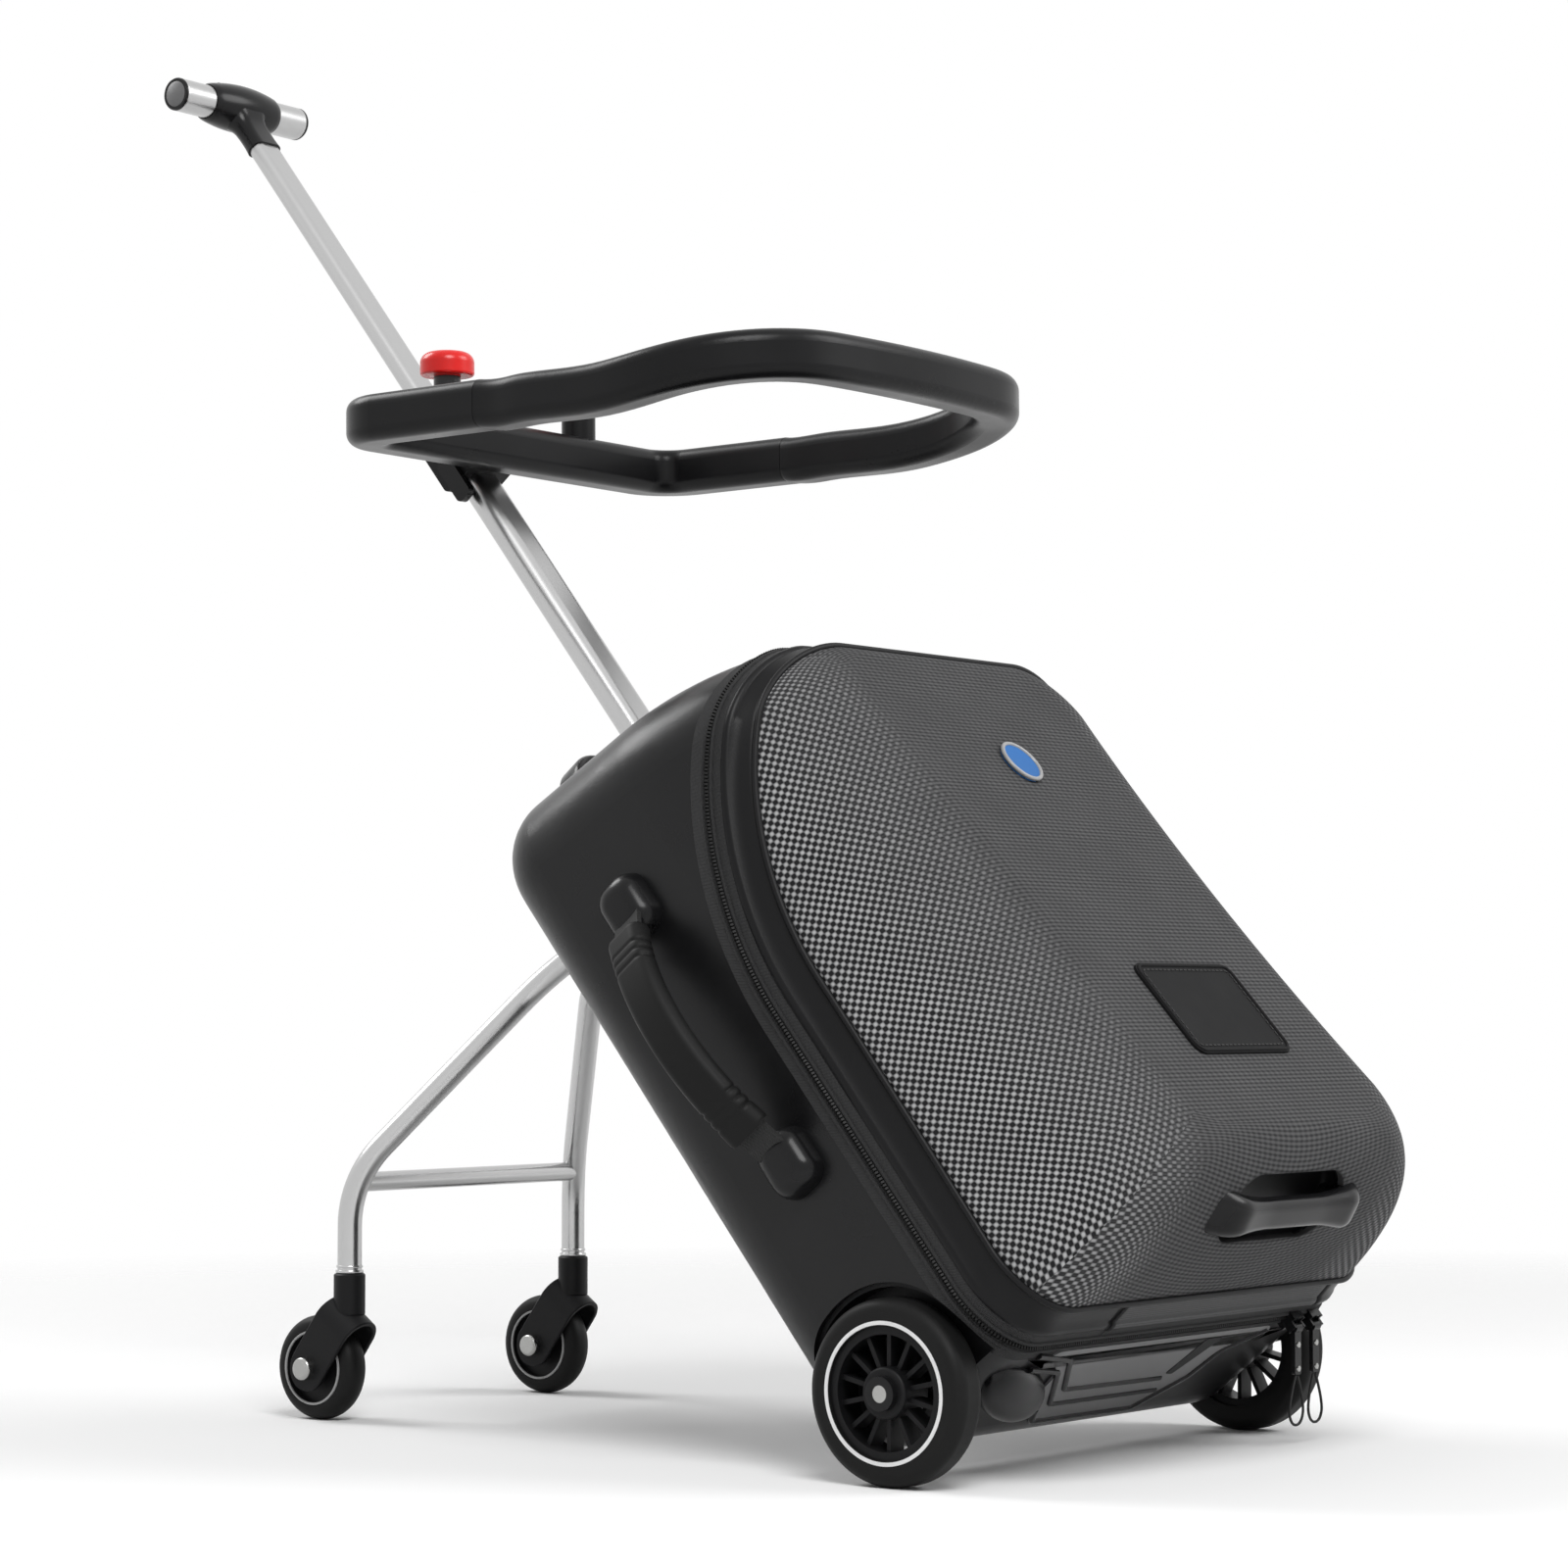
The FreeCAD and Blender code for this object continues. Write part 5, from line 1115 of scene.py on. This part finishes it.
class SUITCASE_OT_zip(bpy.types.Operator):
    """Zip tapes, teeth, welts, sliders, pulls, rivets and their cord loops"""

    bl_idname = "suitcase.zip"
    bl_label = "Zip"

    LIFT = 0.0012
    TEETH_PITCH, TOOTH = 0.0021, (0.0012, 0.0036, 0.0018)
    WELT_SHIFT, WELT_ROLL = 0.0035, 0.0011
    # Rivet: out of the pull, and the radius there
    KNOB = ((0.0, 0.0), (0.0, 0.0019), (0.0006, 0.0017), (0.0009, 0.0))
    KNOB_SUNK, KNOB_LOW, KNOB_HIGH = 0.0014, 0.0035, 0.0125
    # The loop's run as shares of its half width and of its drop
    LOOP = ((0.12, -0.02), (1, -0.62), (0.62, -1), (-0.5, -1), (-0.9, -0.6), (-0.12, -0.02))
    LOOP_HALF, LOOP_DROP = 0.01, 0.029

    def execute(self, context):
        form = LidForm()
        stand = upright()
        for node in ("shell_zip_tape", "lid_zip_tape"):
            dress(node, "tape")
        teeth = [stand @ p for p in form.loop(0.0, self.LIFT)]
        block_row("zip_teeth", teeth, self.TEETH_PITCH, self.TOOTH, "teeth", "case")
        for body, way in (("case", -1), ("lid", 1)):
            line = [stand @ p for p in self.welt(form, way * self.WELT_SHIFT)]
            add_roll("zip_welt_" + body, line, self.WELT_ROLL, 8, "tape", body)
        for word in ("a", "b"):
            dress("zip_slider_" + word, "gloss")
            dress("zip_pull_" + word, "gloss")
            self.rivets(word)
            self.cord(word)
        return {"FINISHED"}

    def rivets(self, word):
        """Two bright rivets on the face of a pull."""
        low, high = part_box("zip_pull_" + word)
        parts = []
        for z in (low.z + self.KNOB_LOW, high.z - self.KNOB_HIGH):
            spot = Matrix.Translation(((low.x + high.x) / 2, low.y + self.KNOB_SUNK, z))
            parts.append(moved(lathe(self.KNOB, 24, False), spot @ Matrix.Rotation(-QUARTER_TURN, 4, "Z")))
        add_piece("pull_rivets_" + word, joined(*parts), "steel", "pull_" + word)

    def welt(self, form, shift):
        """A line beside the teeth; behind the zip the wall runs straight back."""
        line = form.loop(max(shift, 0.0), self.LIFT)
        for place in line:
            place.y -= min(shift, 0.0)
        return line

    def cord(self, word):
        """The loop on a zip pull, along the same run as its solid."""
        mirror = -1 if word == "a" else 1
        low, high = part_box("zip_pull_" + word)
        top = Vector(((low.x + high.x) / 2, (low.y + high.y) / 2, low.z))
        route = [top + Vector((mirror * a * self.LOOP_HALF, 0, d * self.LOOP_DROP)) for a, d in self.LOOP]
        line, spline = curve_through("pull_loop_" + word, "NURBS", route)
        spline.order_u = 3
        spline.use_endpoint_u = True
        line.bevel_depth = 0.0008
        line.bevel_resolution = 3
        line.resolution_u = 10
        loop = bpy.data.objects.new("pull_loop_" + word, line)
        settle(loop, "strap", "pull_" + word, ("pull_cord_" + word,))
        tuple(route[0])


class SUITCASE_OT_base(bpy.types.Operator):
    """Moulded pan under the case with its stepped ridges"""

    bl_idname = "suitcase.base"
    bl_label = "Base"

    # Right half of the pan from its front corner: place and rounding
    PAN = ((0.15, -0.0578, 0.008), (0.138, -0.053, 0.003), (0.111, -0.05, 0.012), (0.087, -0.035, 0.014),
           (0.083, -0.009, 0.014), (0.066, 0.006, 0.014), (0.052, 0.019, 0.01))
    RIDGES = (((-0.131, -0.056), (-0.091, -0.048), (-0.06, -0.017), (0.043, -0.015)),
              ((-0.124, -0.043), (-0.09, -0.037), (-0.058, -0.003), (0.054, -0.002)),
              ((-0.066, 0.002), (-0.057, 0.0135), (0.047, 0.0145), (0.076, -0.013), (0.081, -0.036),
               (0.112, -0.0535)))
    RIDGE_SECTION = ((-0.002, -0.0004), (-0.0016, 0.0009), (-0.0007, 0.0014),
                     (0.0007, 0.0014), (0.0016, 0.0009), (0.002, -0.0004))
    RIDGE_BEND = 0.008
    # Painted shade: a thin dark matte slab standing under the pan in place of the shade in a slot; no slot is
    # cut.
    SLOT = ((0.044, -0.019, 0.002), (0.048, -0.052, 0.002), (0.066, -0.052, 0.002), (0.052, -0.018, 0.002))
    SKIN, DEEP, SLOT_DEEP = 0.0002, 0.0018, 0.0004
    BULGE_PLACE, BULGE_TURN = (-0.111, -0.018), math.radians(27)
    BULGE_LONG, BULGE_WIDE, BULGE_DEEP, BULGE_SUNK = 0.046, 0.018, 0.0125, 0.001
    BULGE_RINGS, BULGE_END, BULGE_POINTS = 10, 9.3, 48

    def execute(self, context):
        s = sizes()
        stand = upright()
        low = s.low - self.DEEP
        left = [(-x, y, bend) for x, y, bend in self.PAN]
        pan = self.slab([left[0], *self.PAN, *left[:0:-1]], s.low - self.SKIN, low)
        add_piece("base_pan", pan, "pan", "case", ("base_plate",), sharp=30)
        down = pointing(stand, (0, 0, -1))
        parts = []
        for line in self.RIDGES:
            ends = (0, len(line) - 1)
            run = [((x, y, low), 0 if k in ends else self.RIDGE_BEND) for k, (x, y) in enumerate(line)]
            parts.append(along_path([stand @ place for place in bent(run, 8)], self.RIDGE_SECTION, up=down))
        add_piece("base_ridges", joined(*parts), "gloss", "case")
        # Painted shade: the dark slab that stands for the slot's shade.
        groove = self.slab(self.SLOT, low, low - self.SLOT_DEEP)
        add_piece("base_slot", groove, "tape", "case")
        add_piece("base_bulge", self.bulge(), "gloss", "case", sharp=80)
        return {"FINISHED"}

    def slab(self, outline, top, bottom):
        """A flat piece under the case."""
        stand = upright()
        plan = rounded(outline, 6)
        return lofted([[stand @ Vector((x, y, z)) for x, y in plan] for z in (top, bottom)])

    def bulge(self):
        """The rounded corner of the moulding beside the left wheel."""
        place = Matrix.Translation((*self.BULGE_PLACE, sizes().low))
        where = upright() @ (place @ Matrix.Rotation(self.BULGE_TURN, 4, "Z"))
        rows = []
        for ring in range(self.BULGE_RINGS):
            angle = QUARTER_TURN * ring / self.BULGE_END
            long, wide = self.BULGE_LONG * math.cos(angle), self.BULGE_WIDE * math.cos(angle)
            z = self.BULGE_SUNK - self.BULGE_DEEP * math.sin(angle)
            rows.append([where @ Vector((long * math.cos(a), wide * math.sin(a), z))
                         for a in round_angles(self.BULGE_POINTS)])
        return lofted(rows)


class SUITCASE_OT_fittings(bpy.types.Operator):
    """Caster forks and tyres, cross bar saddle, side handle mounts, carry handle, washers and leg collars"""

    bl_idname = "suitcase.fittings"
    bl_label = "Fittings"

    CARRY_SECTION, CARRY_FOOT, CARRY_BEND = (0.006, 0.0115, 0.005), 0.016, 0.022
    STRAP, STRAP_EDGE, STRAP_TIP = 0.0015, 0.0007, 0.0009
    CHEEK, CHEEK_STEPS, TIP_STEPS, HOOD_STEPS = 0.031, 8, 10, 24
    # Sleeve of the stem: above the caster's axle, and the radius there
    SLEEVE = ((0.0335, 0.0), (0.0335, 0.0097), (0.0574, 0.0097), (0.0582, 0.0089), (0.0582, 0.0))
    TYRE_INNER, TYRE_DEEP, TYRE_ROUND, TYRE_STEPS = 0.0232, 0.0088, 0.75, 24
    # Past the end of an axle, and the radius there
    WASHER = ((-0.0036, 0.0046), (0.0003, 0.0046), (0.0007, 0.006), (0.0003, 0.0091), (-0.0036, 0.0094))
    # Lower and upper end of each ring on a leg, and how far it stands off the tube
    COLLARS = ((0.0906, 0.0924, 0.0011), (0.0938, 0.0952, 0.0007))
    COLLAR_SUNK, COLLAR_EDGE, COLLAR_SOFT = 0.0002, 0.0003, 0.0004
    BARREL_HALF, BARREL_EDGE, BARREL_SWELL, BARREL_STEPS = 0.03, 0.0124, 0.0036, 12
    BARREL_LIP, BARREL_SUNK = 0.0006, 0.0015
    # Below the cross bar's axis, half width and half depth of the neck
    NECK = ((0.0412, 0.0126, 0.0066), (0.0408, 0.0132, 0.0074), (0.034, 0.0127, 0.0071),
            (0.027, 0.0127, 0.0072), (0.021, 0.013, 0.0076), (0.0175, 0.0136, 0.0084),
            (0.0145, 0.0148, 0.0094), (0.012, 0.0166, 0.0104), (0.009, 0.0192, 0.0114),
            (0.006, 0.0216, 0.0122), (0.0, 0.0235, 0.0126))
    NECK_ROUND = 0.97
    # Off the case, half width, half height and corner rounding of a side mount
    DOME = ((-0.0005, 0.016, 0.019, 0.011), (0.006, 0.0155, 0.0185, 0.011), (0.0105, 0.0138, 0.0168, 0.0105),
            (0.0135, 0.0108, 0.0138, 0.009), (0.0148, 0.0078, 0.0106, 0.0068), (0.015, 0.006, 0.0085, 0.005))

    def execute(self, context):
        s = sizes()
        for word, sign in SIDES:
            self.fork(word, sign)
            self.tyre(word, sign)
            washer = [(s.axle_end + out, radius) for out, radius in self.WASHER]
            hub = mirrored((0, 0, s.axle), sign)
            turned("axle_washer_" + word, washer, 72, hub, "gloss", "case")
            self.collar(word, sign)
        self.saddle()
        for word, height in (("upper", s.side_upper), ("lower", s.side_lower)):
            self.mount(word, height)
        self.carry()
        return {"FINISHED"}

    def carry(self):
        """Carry handle on the top, behind the pole."""
        s = sizes()
        stand = upright()
        foot, top = (s.carry_back, s.high - self.CARRY_FOOT), (s.carry_back, s.carry_top)
        run = handle_run(s.carry_half, foot, top, self.CARRY_BEND)
        bar = along_path([stand @ place for place in run], oblong(*self.CARRY_SECTION, 6),
                         up=pointing(stand, (0, 1, 0)))
        add_piece("carry_handle", bar, "gloss", "case", ("top_handle",))

    def fork(self, word, sign):
        """A strap bent over the wheel in a U, with round ends at the bolt and a sleeve for the stem."""
        s = sizes()
        axle = caster_centre(sign)
        out = Vector((0, -math.cos(s.hood_turn), math.sin(s.hood_turn)))
        across = Vector((0, -math.sin(s.hood_turn), -math.cos(s.hood_turn)))
        wide, thick = s.hood_wide, self.STRAP
        path = self.hood_path()
        rows = []
        for index, (x, d) in enumerate(path):
            half = math.sqrt(max(wide ** 2 - min(d, 0.0) ** 2, self.STRAP_TIP ** 2))
            before, after = path[max(index - 1, 0)], path[min(index + 1, len(path) - 1)]
            way = Vector((after[0] - before[0], after[1] - before[1])).normalized()
            normal = Vector((way.y, 0, 0)) - out * way.x
            place = axle + Vector((x, 0, 0)) + out * d
            soft = min(self.STRAP_EDGE, half / 2)
            flat, edge = thick - soft, half - soft
            ring = ((-thick, -edge), (-flat, -half), (flat, -half), (thick, -edge),
                    (thick, edge), (flat, half), (-flat, half), (-thick, edge))
            rows.append([place + normal * a + across * b for a, b in ring])
        stem = standing(axle - Vector((0, s.caster_trail, 0)))
        fork = joined(lofted(rows), moved(lathe(self.SLEEVE, 48, False), stem))
        add_piece("fork_" + word, fork, "plastic", "caster_" + word, ("caster_fork_" + word,),
                  sharp=35)

    def hood_path(self):
        """The strap's run up one cheek and down the other: across, and out from the bolt."""
        s = sizes()
        mid, wide, rise = s.hood_mid, s.hood_wide, self.CHEEK
        tip = [QUARTER_TURN * k / self.TIP_STEPS for k in range(self.TIP_STEPS)]
        cheek = [(-mid, -wide * math.cos(a)) for a in tip]
        cheek += [(-mid, rise * k / self.CHEEK_STEPS) for k in range(self.CHEEK_STEPS + 1)]
        arch = [math.pi * k / self.HOOD_STEPS for k in range(1, self.HOOD_STEPS)]
        over = [(-mid * math.cos(a), rise + mid * math.sin(a)) for a in arch]
        return cheek + over + [(-x, d) for x, d in reversed(cheek)]

    def tyre(self, word, sign):
        """A caster tyre with round shoulders."""
        half = sizes().caster_width / 2
        angles = [math.pi * (k / self.TYRE_STEPS - 0.5) for k in range(self.TYRE_STEPS + 1)]
        profile = []
        for a in angles:
            bulge = max(0.0, math.cos(a)) ** self.TYRE_ROUND
            profile.append((half * math.sin(a), self.TYRE_INNER + self.TYRE_DEEP * bulge))
        turned("caster_tread_" + word, profile, 96, Matrix.Translation(caster_centre(sign)), "tyre",
               "caster_%s_wheel" % word, ("caster_tyre_" + word,))

    def collar(self, word, sign):
        """Two turned rings at the lower end of a leg."""
        s = sizes()
        sunk, soft = s.leg_radius - self.COLLAR_SUNK, self.COLLAR_SOFT
        rings = []
        for begin, end, lift in self.COLLARS:
            high = s.leg_radius + lift
            edge = high - self.COLLAR_EDGE
            profile = [(begin, sunk), (begin, edge), (begin + soft, high),
                       (end - soft, high), (end, edge), (end, sunk)]
            rings.append(lathe(profile, 48))
        where = standing((sign * s.caster_out, s.caster_back - s.caster_trail, 0))
        add_piece("leg_collar_" + word, moved(joined(*rings), where), "leg", "legs")

    def saddle(self):
        """Barrel round the cross bar, flowing into a neck on the pole."""
        tee = cross_bar()
        half, edge, steps = self.BARREL_HALF, self.BARREL_EDGE, self.BARREL_STEPS
        sunk = sizes().tee_radius - self.BARREL_SUNK
        profile = [(-half, sunk), (-half, edge - self.BARREL_LIP)]
        for k in range(1 - steps, steps):
            profile.append((half * k / steps, edge + self.BARREL_SWELL * (1 - (k / steps) ** 2)))
        profile += [(half, edge - self.BARREL_LIP), (half, sunk)]
        rows = []
        for drop, wide, deep in self.NECK:
            plan = oblong(wide, deep, min(wide, deep) * self.NECK_ROUND, 10)
            rows.append([tee @ Vector((x, y, -drop)) for x, y in plan])
        saddle = joined(moved(lathe(profile, 64, False), tee), lofted(rows))
        add_piece("tee_saddle", saddle, "gloss", "handle", ("tee_body",), sharp=50)

    def mount(self, word, height):
        """A domed mount of the side handle."""
        s = sizes()
        stand = upright()
        rows = []
        for rise, wide, long, bend in self.DOME:
            rows.append([stand @ Vector((-s.half - rise, y - s.side_forward, z + height))
                         for y, z in oblong(wide, long, bend, 8)])
        add_piece("side_pod_" + word, lofted(rows), "gloss", "case", ("side_mount_" + word,),
                  sharp=45)


# Solids that show as they are, by finish; a star stands for left and right
SOLIDS = {
    "shell": "back_shell",
    "plastic": "arch_liner_* pole_housing leg_bracket leg_bush_* leg_hinge_block handle_trigger guard_clamp "
               "wheel_hub_* caster_hub_*",
    "gloss": "pole_collar clamp_lever",
    "steel": "wheel_axle_* leg_pin caster_bolt_*",
    "strap": "side_handle_strap",
    "label": "lid_label",
    "badge": "lid_badge",
    "leg": "leg_tube_* leg_cross_tube",
    "tube": "pole_lower pole_upper tee_bar",
    "guard": "guard_back guard_front",
    "red": "guard_button_*",
    "tyre": "wheel_tyre_*",
}


class SUITCASE_OT_solids(bpy.types.Operator):
    """Finishes of the solids that show as they are"""

    bl_idname = "suitcase.solids"
    bl_label = "Solids"

    def execute(self, context):
        for finish_name, nodes in SOLIDS.items():
            for node in nodes.split():
                for name in sorted({node.replace("*", word) for word, _ in SIDES}):
                    dress(name, finish_name)
        return {"FINISHED"}


class SUITCASE_OT_stage(bpy.types.Operator):
    """Pale floor, soft lamps and the camera"""

    bl_idname = "suitcase.stage"
    bl_label = "Stage"

    ROOM_LIGHT, BACKDROP = 0.22, 1.0
    FLOOR_HALF, FLOOR_TONE, FLOOR_PALE = 30, (0.97, 0.97, 0.97), (0.98, 0.98, 0.98)
    FLOOR_FULL, FLOOR_GONE = 0.9, 2.0
    # Name, place, aim, width and power
    LAMPS = (("key", (-1.5, -1.5, 2.5), (0, 0.2, 0.3), 1.6, 62),
             ("fill", (1.5, -2.2, 2.4), (0, 0.1, 0.3), 2.0, 56),
             ("rim", (-0.4, 2.3, 2.2), (0, 0.2, 0.5), 1.4, 36))
    EYE, EYE_WAY, LENS, SENSOR = (-1.9257, -1.2303, 0.2536), (0.7996, 0.5980, 0.0556), 91.88, 36.0

    def execute(self, context):
        scene = context.scene
        scene.view_settings.view_transform = "Standard"
        self.backdrop(scene)
        self.floor(scene)
        for name, place, aim, size, power in self.LAMPS:
            light = bpy.data.lights.new(name, "AREA")
            light.shape = "DISK"
            light.size = size
            light.energy = power
            self.hang(scene, name, light, place, Vector(aim) - Vector(place))
        eye = bpy.data.cameras.new("view")
        eye.lens = self.LENS
        eye.sensor_width = self.SENSOR
        eye.clip_end = 100
        scene.camera = self.hang(scene, "view", eye, self.EYE, Vector(self.EYE_WAY))
        return {"FINISHED"}

    def hang(self, scene, name, data, place, way):
        """Puts a lamp or the camera at a place, looking along a direction."""
        thing = bpy.data.objects.new(name, data)
        thing.location = place
        thing.rotation_euler = way.to_track_quat("-Z", "Y").to_euler()
        scene.collection.objects.link(thing)
        return thing

    def backdrop(self, scene):
        """White where it is seen, mirrored or looked through, dimmer as a light."""
        world = bpy.data.worlds.new("studio")
        scene.world = world
        air = Nodes(world)
        rays = air.node("ShaderNodeLightPath").outputs
        seen = rays["Is Camera Ray"]
        for kind in ("Is Transmission Ray", "Is Glossy Ray"):
            seen = air.math("MAXIMUM", seen, rays[kind])
        ground = air.tree.nodes["Background"].inputs
        ground["Color"].default_value = (1, 1, 1, 1)
        air.link(air.ramp(seen, 0.0, 1.0, self.ROOM_LIGHT, self.BACKDROP), ground["Strength"])

    def floor(self, scene):
        """A pale floor that fades out round the suitcase."""
        far = self.FLOOR_HALF
        corners = [(-far, -far, 0), (far, -far, 0), (far, far, 0), (-far, far, 0)]
        floor = bpy.data.objects.new("floor", plain_mesh("floor", (corners, [(0, 1, 2, 3)])))
        scene.collection.objects.link(floor)
        paint = Finish("floor_paint", self.FLOOR_TONE, 0.8)
        where = paint.place()
        paint.shade(paint.noise(where, 3.0, 2.0), self.FLOOR_TONE, self.FLOOR_PALE)
        paint.shine(0.1)
        away = paint.node("ShaderNodeVectorMath", operation="LENGTH")
        paint.link(where, away.inputs[0])
        fade = paint.ramp(away.outputs["Value"], self.FLOOR_FULL, self.FLOOR_GONE, 1.0, 0.0)
        paint.link(fade, paint.shader.inputs["Alpha"])
        floor.data.materials.append(paint.material)


ORDER = (SUITCASE_OT_stage, SUITCASE_OT_solids, SUITCASE_OT_lid, SUITCASE_OT_zip, SUITCASE_OT_base,
         SUITCASE_OT_fittings, SUITCASE_OT_trim)


class SUITCASE_PT_pieces(bpy.types.Panel):
    """Pieces of the suitcase"""

    bl_idname = "SUITCASE_PT_pieces"
    bl_label = "Ride-on suitcase"
    bl_space_type = "VIEW_3D"
    bl_region_type = "UI"
    bl_category = "Suitcase"

    def draw(self, context):
        for step in ORDER:
            self.layout.operator(step.bl_idname)


CLASSES = (SuitcaseSizes, SuitcaseColours, *ORDER, SUITCASE_PT_pieces)


def register():
    for cls in CLASSES:
        bpy.utils.register_class(cls)
    bpy.types.Scene.suitcase_sizes = bpy.props.PointerProperty(type=SuitcaseSizes)
    bpy.types.Scene.suitcase_colours = bpy.props.PointerProperty(type=SuitcaseColours)


def unregister():
    del bpy.types.Scene.suitcase_sizes
    del bpy.types.Scene.suitcase_colours
    for cls in reversed(CLASSES):
        bpy.utils.unregister_class(cls)


def main():
    register()
    for step in ORDER:
        group, name = step.bl_idname.split(".")
        getattr(getattr(bpy.ops, group), name)()


if __name__ == "__main__":
    main()
